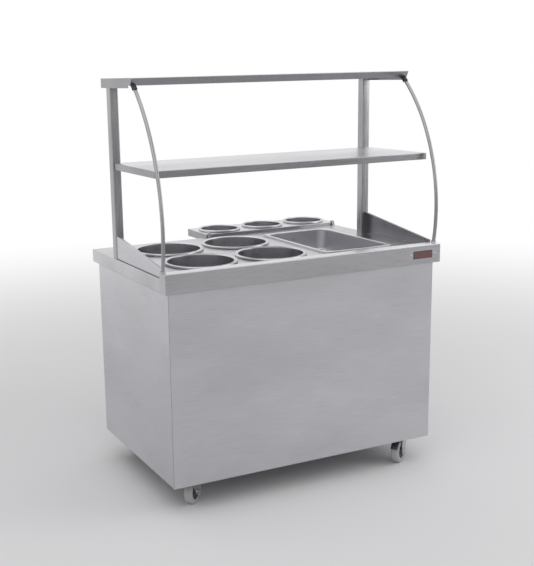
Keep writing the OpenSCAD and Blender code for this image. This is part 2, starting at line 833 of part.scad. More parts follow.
module end_plate(side) {
    slope = atan2(gusset_high - gusset_low, post_y - lip_back);
    drop = gusset_t / cos(slope);
    color(STEEL) in_frame() mirror([side < 0 ? 1 : 0, 0, 0]) translate([gusset_x, 0, deck_h]) {
        across(gusset_t)
            polygon([[lip_back, 0], [post_y, 0], [post_y, gusset_high], [lip_back, gusset_low]]);
        across(gusset_fold)
            polygon([[lip_back, 0], [post_y, 0], [post_y, gusset_t], [lip_back, gusset_t]]);
        across(gusset_fold) polygon([[lip_back, gusset_low - drop], [post_y, gusset_high - drop],
            [post_y, gusset_high], [lip_back, gusset_low]]);
    }
}

module middle_shelf() {
    color(STEEL_LIGHT) in_frame() translate([0, (mid_front + mid_back) / 2, mid_h])
        tray(mid_w, mid_back - mid_front, mid_t, shelf_corner);
}

// One bent sheet, whose front fold slopes back to the bows' sockets, and a plate at each end
module top_shelf() {
    fold_run = sheet * norm([top_t, top_lean]) / top_t;
    fold_low = top_lean - top_front;
    end_front = bow_tip[0] + (bow_d / 2 + socket_wall) / cos(bow_lean(top_low)) + end_gap;
    color(STEEL_LIGHT) in_frame() {
        translate([top_w / 2, 0, 0]) across(top_w)
            polygon([[-top_front, top_h], [top_back, top_h], [top_back, top_low],
                [top_back - sheet, top_low], [top_back - sheet, top_h - sheet],
                [fold_run + top_lean * sheet / top_t - top_front, top_h - sheet],
                [fold_low + fold_run, top_low], [fold_low, top_low]]);
        for (x = [top_w / 2, sheet - top_w / 2]) translate([x, 0, 0]) across(sheet)
            polygon([[-top_front, top_h], [top_back, top_h], [top_back, top_low - end_drop],
                [end_front, top_low - end_drop], [end_front, top_low], [fold_low, top_low]]);
    }
}

// Angles that tie both shelves to the posts, hidden inside the shelves' folded edges
module shelf_cleats() {
    leg = mid_t - 2 * cleat_t;
    color(ZINC) in_frame() for (s = [-1, 1]) {
        translate([s * (mid_w / 2 - shelf_corner), mid_back - sheet, mid_h - sheet])
            mirror([s < 0 ? 1 : 0, 0, 0]) {
                span([-cleat_l, -cleat_t, -leg], [0, 0, 0]);
                span([-cleat_l, -cleat_l, -cleat_t], [0, 0, 0]);
            }
        translate([s * (post_x - post_w / 2), post_y, top_h - sheet]) mirror([s < 0 ? 1 : 0, 0, 0]) {
            span([-cleat_t, 0, -leg], [0, post_d, 0]);
            span([-cleat_l, 0, -cleat_t], [0, post_d, 0]);
        }
    }
}

// ---- bows ----

// A ring about the bows' axis of curvature, whose section is drawn round the tube's axis
module bow_ring(side) {
    translate([side * bow_x, bow_centre[0], bow_centre[1]]) rotate([0, 90, 0]) rotate([0, 0, 180])
        rotate_extrude(angle = 180, $fn = 180) translate([bow_r, 0]) children();
}

// Keeps the front stretch of a bow between two heights
module bow_cut(side, low, high) {
    intersection() {
        bow_ring(side) children();
        translate([side * bow_x, 0, 0]) span([-bow_r, -bow_r, low], [bow_r, bow_centre[0], high]);
    }
}

module bow(side) {
    color(STEEL_LIGHT) in_frame() bow_cut(side, lip_top, top_low) difference() {
        circle(d = bow_d);
        circle(d = bow_d - 2 * bow_wall);
    }
}

// The collars round both bows between two heights
module bow_collars(low, high) {
    for (s = [-1, 1]) bow_cut(s, low, high) difference() {
        circle(d = bow_d + 2 * socket_wall);
        circle(d = bow_d);
    }
}

module bow_sockets() {
    color(BLACK) in_frame() bow_collars(socket_low, top_low);
}

module bow_feet() {
    color(ZINC) in_frame() bow_collars(lip_top, lip_top + foot_h);
}

// ---- condiment ledge ----

module condiment_ledge() {
    color(STEEL_LIGHT) in_frame() translate([ledge_x, ledge_mid, ledge_top]) difference() {
        tray(ledge_w, ledge_d, ledge_t, 2 * sheet);
        for (i = [-1, 0, 1]) translate([i * small_pitch, 0, -sheet - e])
            cylinder(h = sheet + 2 * e, d = small_hole_d);
    }
}

module ledge_brackets() {
    foot_z = skirt_low + 2 * sheet;
    profile = [[0, foot_z], [0, ledge_low], [sheet, ledge_low], [sheet, ledge_top - sheet],
        [bracket_reach, ledge_top - sheet], [bracket_reach, ledge_low + fold], [fold, foot_z]];
    color(STEEL_DARK) in_frame() for (s = [-1, 1])
        translate([ledge_x + s * small_pitch / 2 + bracket_t / 2, back_y, 0])
            across(bracket_t) polygon(profile);
}

module ledge_hooks() {
    color(BLACK) in_frame() for (s = [-1, 1])
        translate([ledge_x + s * (ledge_w / 2 - hook_in) - hook_w / 2, back_y, 0]) {
            span([0, -hook_over, deck_h], [hook_w, 0, deck_h + hook_t]);
            span([0, -hook_t, deck_h], [hook_w, 0, deck_h + hook_h]);
            span([0, -hook_t, ledge_top], [hook_w, hook_over, deck_h + hook_h]);
        }
}

// ---- name plate, left blank ----

module name_plate() {
    color(MAROON) in_frame() translate([name_x, front_y, name_z]) difference() {
        rotate([90, 0, 0]) round_slab(plate_w, plate_h, plate_t, plate_corner);
        for (s = [-1, 1]) translate([s * (plate_w / 2 - plate_screw_in), e, 0]) rotate([90, 0, 0])
            cylinder(h = plate_t + 2 * e, d = plate_screw_d / 2);
    }
}

module name_plate_screws() {
    color(ZINC) in_frame() for (s = [-1, 1])
        translate([name_x + s * (plate_w / 2 - plate_screw_in), front_y, name_z]) rotate([90, 0, 0]) {
            cylinder(h = plate_t, d = plate_screw_d / 2);
            translate([0, 0, plate_t])
                cylinder(h = plate_screw_h, d1 = plate_screw_d, d2 = plate_screw_d - 2 * plate_screw_h);
        }
}

// ---- pots and pan ----

module large_pot(i) {
    color(STEEL_LIGHT) in_frame() translate([pot_centres[i][0], pot_centres[i][1], deck_h])
        round_pot(pot_d, pot_rim_d, pot_depth);
}

module small_pot(i) {
    color(STEEL_LIGHT) in_frame() translate([ledge_x + i * small_pitch, ledge_mid, ledge_top])
        round_pot(small_d, small_rim_d, small_depth);
}

module serving_pan() {
    color(STEEL_LIGHT) in_frame() translate([pan_x, wells_y, deck_h]) difference() {
        union() {
            translate([0, 0, -pan_depth])
                round_slab(pan_body_w, pan_body_l, pan_depth + pan_rise, pan_body_corner);
            difference() {
                round_slab(pan_w, pan_l, pan_rise, pan_corner);
                translate([0, 0, -e]) round_slab(pan_w - 2 * pot_wall, pan_l - 2 * pot_wall,
                    pan_rise - pot_wall + e, pan_corner - pot_wall);
            }
        }
        translate([0, 0, -pan_depth + pot_wall]) round_slab(pan_body_w - 2 * pot_wall,
            pan_body_l - 2 * pot_wall, pan_depth + pan_rise, pan_body_corner - pot_wall);
    }
}

// ---- castors ----

// Moves to a castor: its swivel axis is z, and it trails along +x
module at_castor(i) {
    in_frame() translate([castor_at[i][0], castor_at[i][1], 0]) rotate([0, 0, castor_turns[i]]) children();
}

module castor_plates() {
    color(ZINC) in_frame() for (at = castor_at) translate([at[0], at[1], 0]) {
        difference() {
            translate([-plate_l / 2, -plate_b / 2, castor_h - castor_plate_t])
                cube([plate_l, plate_b, castor_plate_t]);
            translate([0, 0, castor_h]) bolt_holes();
        }
        translate([0, 0, race_low]) cylinder(h = race_h, r = race_r);
        translate([0, 0, crown_low - race_gap]) cylinder(h = castor_h - crown_low, d = kingpin_d);
        translate([0, 0, crown_low - race_gap - rivet_h]) cylinder(h = rivet_h, d = rivet_d);
    }
}

module castor_bolts() {
    shank_low = castor_h - castor_plate_t;
    color(ZINC) in_frame() for (at = castor_at, sx = [-1, 1], sy = [-1, 1])
        translate([at[0] + sx * bolt_x / 2, at[1] + sy * bolt_y / 2, 0]) {
            translate([0, 0, shank_low - head_h]) cylinder(h = head_h, r = hex_r, $fn = 6);
            translate([0, 0, shank_low]) cylinder(h = castor_plate_t + angle_t + nut_h, d = bolt_d);
            translate([0, 0, castor_h + angle_t]) cylinder(h = nut_h, r = hex_r, $fn = 6);
        }
}

module castor_fork(i) {
    color(ZINC) at_castor(i) difference() {
        union() {
            translate([0, 0, crown_low]) cylinder(h = crown_t, r = crown_r);
            for (s = [-1, 1]) translate([0, s * (leg_in + leg_t / 2), 0]) rotate([90, 0, 0])
                translate([0, 0, -leg_t / 2]) fork_leg(i);
        }
        translate([0, 0, crown_low - e]) cylinder(h = castor_h, r = kingpin_d / 2 + fit);
        translate([castor_trail, 0, axle_h]) rotate([90, 0, 0])
            cylinder(h = 3 * wheel_w, d = axle_d, center = true);
        if (i == FL || i == FR) translate([pin_x, 0, pin_z]) rotate([90, 0, 0])
            cylinder(h = 3 * wheel_w, r = pin_r + fit, center = true);
    }
}

// One leg of a fork, drawn in x and z with its thickness along the extrusion
module fork_leg(i) {
    linear_extrude(leg_t) polygon([[-leg_back, crown_high], [-leg_back, crown_low - leg_drop],
        [castor_trail - boss_r, axle_h], [castor_trail + boss_r, axle_h],
        [castor_trail + boss_r, crown_low - leg_neck], [leg_front, crown_high]]);
    translate([castor_trail, axle_h, 0]) cylinder(h = leg_t, r = boss_r);
    if (i == FL || i == FR) {
        translate([pin_x, pin_z, 0]) cylinder(h = leg_t, r = ear_r);
        span([leg_front - ear_r, pin_z - ear_r, 0], [pin_x, crown_high, leg_t]);
    }
}

module castor_wheel(i) {
    hub_w = 2 * leg_in - 2 * race_gap;
    tread_r = wheel_d / 2;
    web_r = tread_r - tyre_depth;
    color(RUBBER) at_castor(i) translate([castor_trail, 0, axle_h]) rotate([90, 0, 0]) difference() {
        rotate_extrude($fn = 96) {
            translate([web_r, -wheel_w / 2]) square([tyre_depth - tyre_r, wheel_w]);
            translate([web_r, tyre_r - wheel_w / 2]) square([tyre_depth, wheel_w - 2 * tyre_r]);
            for (s = [-1, 1]) translate([tread_r - tyre_r, s * (wheel_w / 2 - tyre_r)]) circle(r = tyre_r);
            translate([0, -web_t / 2]) square([web_r + e, web_t]);
            translate([0, -hub_w / 2]) square([boss_r, hub_w]);
        }
        cylinder(h = 2 * wheel_w, r = axle_d / 2 + fit, center = true);
    }
}

module castor_axle(i) {
    color(ZINC) at_castor(i) translate([castor_trail, 0, axle_h]) rotate([90, 0, 0]) {
        cylinder(h = 2 * leg_out + nut_h, d = axle_d, center = true);
        for (s = [-1, 1]) translate([0, 0, s * (leg_out + nut_h / 2)])
            cylinder(h = nut_h, r = hex_r, center = true, $fn = 6);
    }
}

// A sprung plate that is trodden on to press on the tyre
module brake_pedal(i) {
    reach = 2 * wheel_d;
    color(BLACK) at_castor(i) {
        translate([castor_trail, pedal_w / 2, axle_h]) rotate([90, 0, 0])
            linear_extrude(pedal_w) intersection() {
                difference() {
                    circle(r = pedal_in_r + pedal_t, $fn = 128);
                    circle(r = pedal_in_r, $fn = 128);
                }
                polygon([[0, 0], reach * [cos(pedal_from), sin(pedal_from)], reach * [1, 1],
                    reach * [cos(pedal_to), sin(pedal_to)]]);
            }
        translate([pin_x, 0, pin_z]) rotate([90, 0, 0]) {
            cylinder(h = 2 * leg_out + 2 * pin_proud, r = pin_r, center = true);
            cylinder(h = 2 * leg_in - 2 * race_gap, r = eye_r, center = true);
        }
    }
}

chassis_frame();
base_pan();
front_panel();
side_panel(LEFT);  // side_panel_left
side_panel(RIGHT);  // side_panel_right
back_frame();
storage_shelf();
counter_top();
front_channel();
ice_tank();
tank_insulation();
drain_pipe();
drain_valve();
valve_lever();
end_plate(LEFT);  // end_plate_left
end_plate(RIGHT);  // end_plate_right
post(LEFT);  // post_left
post(RIGHT);  // post_right
middle_shelf();
top_shelf();
shelf_cleats();
bow(LEFT);  // bow_left
bow(RIGHT);  // bow_right
bow_sockets();
bow_feet();
condiment_ledge();
ledge_brackets();
ledge_hooks();
name_plate();
name_plate_screws();
castor_plates();
castor_bolts();
door_track_top();
door_track_bottom();
door(LEFT);  // door_left
door(RIGHT);  // door_right
door_pull(LEFT);  // door_pull_left
door_pull(RIGHT);  // door_pull_right
large_pot(0);  // pot_back_left
large_pot(1);  // pot_front_left
large_pot(2);  // pot_back_right
large_pot(3);  // pot_front_right
small_pot(-1);  // small_pot_left
small_pot(0);  // small_pot_middle
small_pot(1);  // small_pot_right
serving_pan();
castor_fork(FL);  // castor_fork_fl
castor_fork(FR);  // castor_fork_fr
castor_fork(RL);  // castor_fork_rl
castor_fork(RR);  // castor_fork_rr
castor_wheel(FL);  // castor_wheel_fl
castor_wheel(FR);  // castor_wheel_fr
castor_wheel(RL);  // castor_wheel_rl
castor_wheel(RR);  // castor_wheel_rr
castor_axle(FL);  // castor_axle_fl
castor_axle(FR);  // castor_axle_fr
castor_axle(RL);  // castor_axle_rl
castor_axle(RR);  // castor_axle_rr
brake_pedal(FL);  // brake_pedal_fl
brake_pedal(FR);  // brake_pedal_fr
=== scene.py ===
# %% [markdown]
# # Mobile salad bar
# A stainless serving counter: folded sheets on a chassis with castors, drawn pots that hang in
# holes, and two shelves on posts and bent tubes. The solids, their places and all that moves come
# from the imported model. This lesson makes the sheets, tubes, pots and castors that show as
# finely shaped surfaces, and gives each piece its finish.
#
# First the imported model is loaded. Each of its solids is a Blender object already, in metres, and
# each has a body that it moves with, so a new piece only has to say which solid it stands for.

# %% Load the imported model
import json
import math

import bmesh
import bpy
import numpy as np
from mathutils import Matrix, Vector


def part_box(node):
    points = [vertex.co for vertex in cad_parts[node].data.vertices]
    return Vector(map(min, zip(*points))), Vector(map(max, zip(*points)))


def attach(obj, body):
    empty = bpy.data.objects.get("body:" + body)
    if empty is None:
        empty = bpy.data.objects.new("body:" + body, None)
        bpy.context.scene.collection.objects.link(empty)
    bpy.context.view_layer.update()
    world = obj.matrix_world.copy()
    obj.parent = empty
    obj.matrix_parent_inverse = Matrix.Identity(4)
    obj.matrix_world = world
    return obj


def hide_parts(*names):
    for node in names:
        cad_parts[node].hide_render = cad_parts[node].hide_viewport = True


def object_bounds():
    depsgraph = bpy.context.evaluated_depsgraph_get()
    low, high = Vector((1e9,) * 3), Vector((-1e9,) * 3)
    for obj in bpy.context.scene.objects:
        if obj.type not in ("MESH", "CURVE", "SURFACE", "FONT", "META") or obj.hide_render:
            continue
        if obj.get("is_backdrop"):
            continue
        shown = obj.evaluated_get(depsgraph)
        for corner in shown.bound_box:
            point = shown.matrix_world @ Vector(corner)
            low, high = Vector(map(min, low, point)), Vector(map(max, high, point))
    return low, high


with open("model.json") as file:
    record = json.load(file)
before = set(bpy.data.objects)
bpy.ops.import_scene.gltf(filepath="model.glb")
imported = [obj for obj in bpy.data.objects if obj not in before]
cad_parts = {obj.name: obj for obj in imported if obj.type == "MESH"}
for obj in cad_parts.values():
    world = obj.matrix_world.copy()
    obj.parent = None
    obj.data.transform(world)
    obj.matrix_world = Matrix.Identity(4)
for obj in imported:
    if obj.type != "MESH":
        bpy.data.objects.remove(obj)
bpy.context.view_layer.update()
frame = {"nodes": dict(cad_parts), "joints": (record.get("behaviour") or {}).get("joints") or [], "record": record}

MM = 0.001
joints = {joint["name"]: joint for joint in frame["joints"]}
body_of = {node: body for body, nodes in frame["record"]["behaviour"]["bodies"].items() for node in nodes}


def corners(node):
    """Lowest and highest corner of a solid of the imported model, as two arrays in metres."""
    low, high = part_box(node)
    return np.array(low), np.array(high)


# %% [markdown]
# ## Lines with round corners
# Almost everything here is bent sheet, and a bend is never sharp: it has a radius of a few
# millimetres, which catches the light as a thin bright line. So each section is drawn as a line
# with corners, and every corner is rounded by an arc. Close to each arc one more point sits on the
# straight, which keeps the shading of the flat from leaning into the bend.

# %% Round the corners of a line
GUARD = 0.4 * MM                             # from the end of an arc to the point that guards it


def rounded(line, radius, steps=5, closed=False):
    """Replaces each corner of a flat line by an arc that touches both its sides.

    The arc's centre lies on the corner's bisector, radius / sin(half angle) away, and it starts
    radius / tan(half angle) before the corner. radius is one number or one for each corner.
    """
    line = np.asarray(line, float)
    count = len(line)
    radii = np.broadcast_to(np.asarray(radius, float), count)
    parts = []
    for k in range(count):
        here = line[k]
        if not closed and k in (0, count - 1) or radii[k] <= 0:
            parts.append(here[None])
            continue
        back, ahead = line[k - 1] - here, line[(k + 1) % count] - here
        lengths = np.linalg.norm(back), np.linalg.norm(ahead)
        back, ahead = back / lengths[0], ahead / lengths[1]
        half = math.acos(np.clip(back @ ahead, -1, 1)) / 2
        run = radii[k] / math.tan(half)
        middle = here + (back + ahead) / np.linalg.norm(back + ahead) * radii[k] / math.sin(half)
        first, last = here + back * run, here + ahead * run
        start = math.atan2(*(first - middle)[::-1])
        turn = (math.atan2(*(last - middle)[::-1]) - start + math.pi) % (2 * math.pi) - math.pi
        angle = start + turn * np.linspace(0, 1, steps + 1)
        arc = middle + radii[k] * np.column_stack([np.cos(angle), np.sin(angle)])
        before = [first + back * GUARD] if lengths[0] > 2 * run + 3 * GUARD else []
        after = [last + ahead * GUARD] if lengths[1] > 2 * run + 3 * GUARD else []
        parts += [np.array(before).reshape(-1, 2), arc, np.array(after).reshape(-1, 2)]
    return np.concatenate(parts)


def sheet_section(line, radius, thickness, lean=0):
    """The closed section of a bent sheet along a line.

    The line is moved to its left by (1 + lean) / 2 of the thickness and to its right by the rest,
    along the bisector at a corner, so lean 0 keeps it in the sheet's middle. An arc's radius
    grows on the outer side of its bend and shrinks on the inner one by the same amounts.
    """
    line = np.asarray(line, float)
    step = np.diff(line, axis=0)
    step /= np.linalg.norm(step, axis=1)[:, None]
    normal = np.column_stack([-step[:, 1], step[:, 0]])
    before, after = np.vstack([normal[:1], normal]), np.vstack([normal, normal[-1:]])
    shift = (before + after) / (1 + (before * after).sum(1))[:, None]
    turns = np.concatenate([[0], np.sign(step[:-1, 0] * step[1:, 1] - step[:-1, 1] * step[1:, 0]), [0]])
    to_left, to_right = (1 + lean) / 2 * thickness, (1 - lean) / 2 * thickness
    left = rounded(line + shift * to_left, np.maximum(radius - turns * to_left, 0.05 * MM))
    right = rounded(line - shift * to_right, np.maximum(radius + turns * to_right, 0.05 * MM))
    return np.concatenate([left, right[::-1]])


# %% [markdown]
# ## From lines to surfaces
# Two ways of carrying a line make all the sheets. A straight bend, such as the front lip, is a
# section pushed along one axis. A pressed form, such as a shelf or a pan, is a profile carried
# round an outline that shrinks as the profile moves inwards. A pot or a wheel is the same with a
# circle as its outline. Each gives a grid of points, and neighbours on the grid make the faces.

# %% Surfaces on a grid
SMOOTH_BELOW = math.radians(32)              # edges that turn by less are shaded smooth


class Shape:
    """Gathers surfaces, each a grid of points, into one mesh."""

    def __init__(self):
        self.points, self.faces, self.count = [], [], 0

    def grid(self, points, close_rows=False, close_cols=False, cap_rows=False, cap_cols=False):
        """Adds a grid of rows x columns points. A closed direction joins its last line to its first,
        and a cap fills the first and the last line with one face each."""
        rows, cols = points.shape[:2]
        number = np.arange(rows * cols).reshape(rows, cols) + self.count
        wide = np.concatenate([number, number[:1]]) if close_rows else number
        wide = np.concatenate([wide, wide[:, :1]], axis=1) if close_cols else wide
        quads = np.stack([wide[:-1, :-1], wide[:-1, 1:], wide[1:, 1:], wide[1:, :-1]], axis=-1)
        self.faces += quads.reshape(-1, 4).tolist()
        if cap_rows:
            self.faces += [number[0].tolist(), number[-1].tolist()]
        if cap_cols:
            self.faces += [number[:, 0].tolist(), number[:, -1].tolist()]
        self.points.append(points.reshape(-1, 3))
        self.count += rows * cols
        return self

    def piece(self, name):
        """Makes the mesh, joins points that coincide, and turns every face outwards."""
        mesh = bpy.data.meshes.new(name)
        mesh.from_pydata(np.concatenate(self.points).tolist(), [], self.faces)
        work = bmesh.new()
        work.from_mesh(mesh)
        bmesh.ops.remove_doubles(work, verts=work.verts, dist=0.002 * MM)
        bmesh.ops.recalc_face_normals(work, faces=work.faces)
        work.to_mesh(mesh)
        work.free()
        mesh.shade_smooth()
        mesh.set_sharp_from_angle(angle=SMOOTH_BELOW)
        made = bpy.data.objects.new(name, mesh)
        bpy.context.scene.collection.objects.link(made)
        return made


def pushed(section, start, end, axis):
    """A section pushed straight along axis 0, 1 or 2, with both ends closed. The section's two
    numbers go to the other two axes, in their order."""
    section = np.asarray(section, float)
    others = [a for a in range(3) if a != axis]
    points = np.zeros((2, len(section), 3))
    points[:, :, others] = section
    points[0, :, axis], points[1, :, axis] = start, end
    return points


def round_outline(radius, steps=96):
    """A circle that shrinks: radius - inset at every angle."""
    angle = np.linspace(0, 2 * np.pi, steps, endpoint=False)
    ring = np.column_stack([np.cos(angle), np.sin(angle)])
    return lambda inset: (radius - inset)[:, None, None] * ring


def box_outline(width, depth, corner, steps=8):
    """A rectangle with round corners that shrinks by inset on every side. corner is the radius at
    the outside, which shrinks with the inset down to almost nothing, or two rows of numbers,
    insets and the radii there, with straight lines between them."""
    angle = (np.arange(4)[:, None] * 90 + np.linspace(0, 90, steps + 1)) * np.pi / 180
    across, along = np.cos(angle).ravel(), np.sin(angle).ravel()
    side_x = np.repeat([1, -1, -1, 1], steps + 1)
    side_y = np.repeat([1, 1, -1, -1], steps + 1)

    def shrunk(inset):
        inset = inset[:, None]
        r = np.maximum(corner - inset, 0.05 * MM) if np.isscalar(corner) else np.interp(inset, *corner)
        x = side_x * (width / 2 - inset - r) + r * across
        y = side_y * (depth / 2 - inset - r) + r * along
        return np.stack([x, y], axis=-1)

    return shrunk


def carried(profile, outline, centre=(0, 0, 0)):
    """A profile of (inset, height) carried round an outline: one ring of the grid per point."""
    profile = np.asarray(profile, float)
    ring = outline(profile[:, 0])
    height = np.broadcast_to(profile[:, 1, None, None], ring.shape[:2] + (1,))
    return np.concatenate([ring, height], axis=-1) + np.asarray(centre, float)


def moved(points, matrix):
    """Points turned and moved by a 4 x 4 matrix."""
    return points @ matrix[:3, :3].T + matrix[:3, 3]


def stands_for(piece, node, material, *more):
    """The piece takes a solid's place: its body and its finish."""
    piece.data.materials.clear()
    piece.data.materials.append(material)
    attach(piece, body_of[node])
    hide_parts(node, *more)
    print(f"{piece.name}: {len(piece.data.polygons)} faces")
    return piece


def detail(piece, node, material):
    """A small piece that sits on a solid and moves with it, without taking its place."""
    piece.data.materials.append(material)
    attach(piece, body_of[node])
    return piece


# %% [markdown]
# ## Eased edges
# Many pieces are right as they come: angle bar, tracks, brackets, forks and bolts. Only their edges
# are too sharp, for a sheared or cast edge is always broken a little and draws a thin bright line.
# So such a solid is copied, its loose triangles are joined, flat neighbours are made one face
# again, and a bevel of half a millimetre rounds every edge that turns by more than 35 degrees.

# %% Ease the edges of a solid
def ease(piece, width, steps=2):
    """Rounds every edge of a piece that turns by more than 35 degrees, and keeps its flats flat."""
    bevel = piece.modifiers.new("eased", "BEVEL")
    bevel.width = width
    bevel.segments = steps
    bevel.limit_method = "ANGLE"
    bevel.angle_limit = math.radians(35)
    bevel.harden_normals = True
    return piece


def eased(node, material, width=0.5 * MM):
    """A copy of a solid with joined triangles, merged flats and eased edges, in its place."""
    work = bmesh.new()
    work.from_mesh(frame["nodes"][node].data)
    bmesh.ops.remove_doubles(work, verts=work.verts, dist=0.001 * MM)
    bmesh.ops.dissolve_limit(work, angle_limit=math.radians(0.4), verts=work.verts, edges=work.edges)
    mesh = bpy.data.meshes.new(node + "_eased")
    work.to_mesh(mesh)
    work.free()
    for name in [a.name for a in mesh.attributes if "normal" in a.name]:
        mesh.attributes.remove(mesh.attributes[name])
    mesh.shade_smooth()
    mesh.set_sharp_from_angle(angle=SMOOTH_BELOW)
    copy = bpy.data.objects.new(node + "_eased", mesh)
    bpy.context.scene.collection.objects.link(copy)
    return stands_for(ease(copy, width), node, material)


# %% [markdown]
# ## Brushed stainless steel
# Brushed sheet is a metal whose roughness runs in one direction. Under the brush the surface is
# full of fine parallel scratches, so here a noise is stretched a few hundred times along the
# grain: it varies the roughness, tints the colour a little, and gives a very small bump. A second,
# large and soft noise stands for the uneven polish that makes wide sheets look cloudy.

# %% Make a brushed finish
def link(tree, *ends):
    """Joins an output socket to an input socket, given as (node, socket, node, socket)."""
    tree.links.new(ends[0].outputs[ends[1]], ends[2].inputs[ends[3]])


def ramp(tree, low, high, out_low, out_high):
    """A Map Range node that turns low..high into out_low..out_high."""
    node = tree.nodes.new("ShaderNodeMapRange")
    for name, value in zip(("From Min", "From Max", "To Min", "To Max"), (low, high, out_low, out_high)):
        node.inputs[name].default_value = value
    return node


def noise_of(tree, coordinates, scale, detail_level, stretch=(1, 1, 1)):
    """A noise on Object coordinates, stretched along an axis by a small number there."""
    mapping = tree.nodes.new("ShaderNodeMapping")
    mapping.inputs["Scale"].default_value = stretch
    noise = tree.nodes.new("ShaderNodeTexNoise")
    noise.inputs["Scale"].default_value = scale
    noise.inputs["Detail"].default_value = detail_level
    link(tree, coordinates, "Object", mapping, "Vector")
    link(tree, mapping, "Vector", noise, "Vector")
    return noise


def finish(name, color, metallic, roughness, grain=None, streaks=0.10, clouds=0.06, bump=0.02, scale=900,
           spread=0.08, coat=0.0, painted_top_light=None):
    """A finish whose colour, roughness and bump follow two noises on Object coordinates: streaks,
    drawn out along the grain's axis, and wide soft clouds, drawn out a little. A colour given for
    faces that look up is a painted highlight: those faces get it in place of the first colour, as
    if lit more from above, and the other faces keep the darker first colour as painted shade."""
    material = bpy.data.materials.new(name)
    material.use_nodes = True
    tree = material.node_tree
    shader = tree.nodes["Principled BSDF"]
    shader.inputs["Metallic"].default_value = metallic
    shader.inputs["Coat Weight"].default_value = coat
    where = tree.nodes.new("ShaderNodeTexCoord")
    stretch = [1.0, 1.0, 1.0]
    if grain is not None:
        stretch[grain] = 0.012
    fine = noise_of(tree, where, scale, 3.0, stretch)
    wide = noise_of(tree, where, 4.5, 3.0, [0.35 if k == grain else 1.0 for k in range(3)])
    streak = ramp(tree, 0.3, 0.7, 1 - streaks, 1 + streaks)
    cloud = ramp(tree, 0.3, 0.7, 1 - clouds, 1 + clouds)
    both = tree.nodes.new("ShaderNodeMath")
    both.operation = "MULTIPLY"
    tint = tree.nodes.new("ShaderNodeVectorMath")
    tint.operation = "SCALE"
    tint.inputs[0].default_value = color
    # Painted highlight: faces that look up get the lighter colour, and the others keep the darker one as painted
    # shade
    if painted_top_light is not None:
        split = tree.nodes.new("ShaderNodeSeparateXYZ")
        link(tree, where, "Normal", split, 0)
        up = ramp(tree, 0.5, 0.95, 0, 1)
        link(tree, split, "Z", up, "Value")
        which = tree.nodes.new("ShaderNodeMix")
        which.data_type = "VECTOR"
        which.inputs[4].default_value, which.inputs[5].default_value = color, painted_top_light
        tree.links.new(up.outputs[0], which.inputs[0])
        tree.links.new(which.outputs[1], tint.inputs[0])
    rough = ramp(tree, 0.25, 0.75, roughness - spread, roughness + spread)
    relief = tree.nodes.new("ShaderNodeBump")
    relief.inputs["Strength"].default_value = bump
    relief.inputs["Distance"].default_value = 0.3 * MM
    link(tree, fine, 0, streak, "Value")
    link(tree, wide, 0, cloud, "Value")
    tree.links.new(streak.outputs[0], both.inputs[0])
    tree.links.new(cloud.outputs[0], both.inputs[1])
    tree.links.new(both.outputs[0], tint.inputs["Scale"])
    tree.links.new(tint.outputs[0], shader.inputs["Base Color"])
    link(tree, fine, 0, rough, "Value")
    tree.links.new(rough.outputs[0], shader.inputs["Roughness"])
    link(tree, fine, 0, relief, "Height")
    link(tree, relief, 0, shader, "Normal")
    return material


# %% [markdown]
# ## One finish for each kind of part
# The same steel looks different on each part: wide panels are dull and cloudy, the deck is
# bright, the drawn pots are smooth, and tubes are polished. On the shelves and the front lip the
# faces that look up take a painted highlight and the other faces a darker colour, which is painted
# shade, and the right end plate is a darker copy of the steel, also painted shade. Small parts are
# zinc plated, moulded or cast. Each finish says its colour, how rough it is and where its grain runs.

# %% The finishes
STEEL = (0.585, 0.585, 0.61)
ALONG_X, ALONG_Y, ALONG_Z = 0, 1, 2
panel_steel = finish("brushed_panel", STEEL, 1.0, 0.42, ALONG_X)
side_steel = finish("brushed_side", STEEL, 1.0, 0.42, ALONG_Y)
# The lip's top takes a painted highlight, a lighter colour on faces that look up; its front keeps the darker
# colour, which is painted shade
band_steel = finish("brushed_band", (0.47, 0.47, 0.49), 1.0, 0.32, ALONG_X, clouds=0.12,
                    painted_top_light=(0.74, 0.74, 0.76))
upright_steel = finish("brushed_upright", (0.37, 0.37, 0.385), 1.0, 0.30, ALONG_Z, streaks=0.24, clouds=0.16)
# The right end plate's steel is the same steel as the left plate, darkened as painted shade and painted reflection
# of the dark parts beside it
shaded_plate_steel = finish("dull_upright", (0.29, 0.29, 0.305), 1.0, 0.34, ALONG_Y, streaks=0.2, clouds=0.12)
deck_steel = finish("brushed_deck", (0.50, 0.50, 0.52), 1.0, 0.28, ALONG_X, clouds=0.12)
# The shelves' tops take a painted highlight, a lighter colour on faces that look up; their fronts and ends keep a
# dark colour, which is painted shade
shelf_steel = finish("brushed_shelf", (0.30, 0.30, 0.315), 1.0, 0.30, ALONG_X, clouds=0.12,
                     painted_top_light=(0.60, 0.605, 0.63))
dark_steel = finish("dull_inner_steel", (0.36, 0.36, 0.38), 1.0, 0.5, ALONG_X)
tank_steel = finish("folded_tank_steel", (0.52, 0.52, 0.54), 1.0, 0.38, ALONG_Y)
pot_steel = finish("drawn_pot_steel", (0.62, 0.62, 0.645), 1.0, 0.30, None, streaks=0.02, clouds=0.05,
                   bump=0.0, scale=40, spread=0.03)
tube_steel = finish("polished_tube", (0.36, 0.365, 0.38), 1.0, 0.36, None, streaks=0.03, clouds=0.14,
                    bump=0.0, scale=60, spread=0.02)
zinc = finish("zinc_plate", (0.52, 0.52, 0.54), 1.0, 0.34, None, streaks=0.12, scale=180)
rubber = finish("grey_rubber", (0.42, 0.42, 0.43), 0.0, 0.60, None, streaks=0.12, clouds=0.15, scale=400,
                bump=0.08)
hub_plastic = finish("hub_moulding", (0.07, 0.07, 0.078), 0.0, 0.45, None, scale=400)
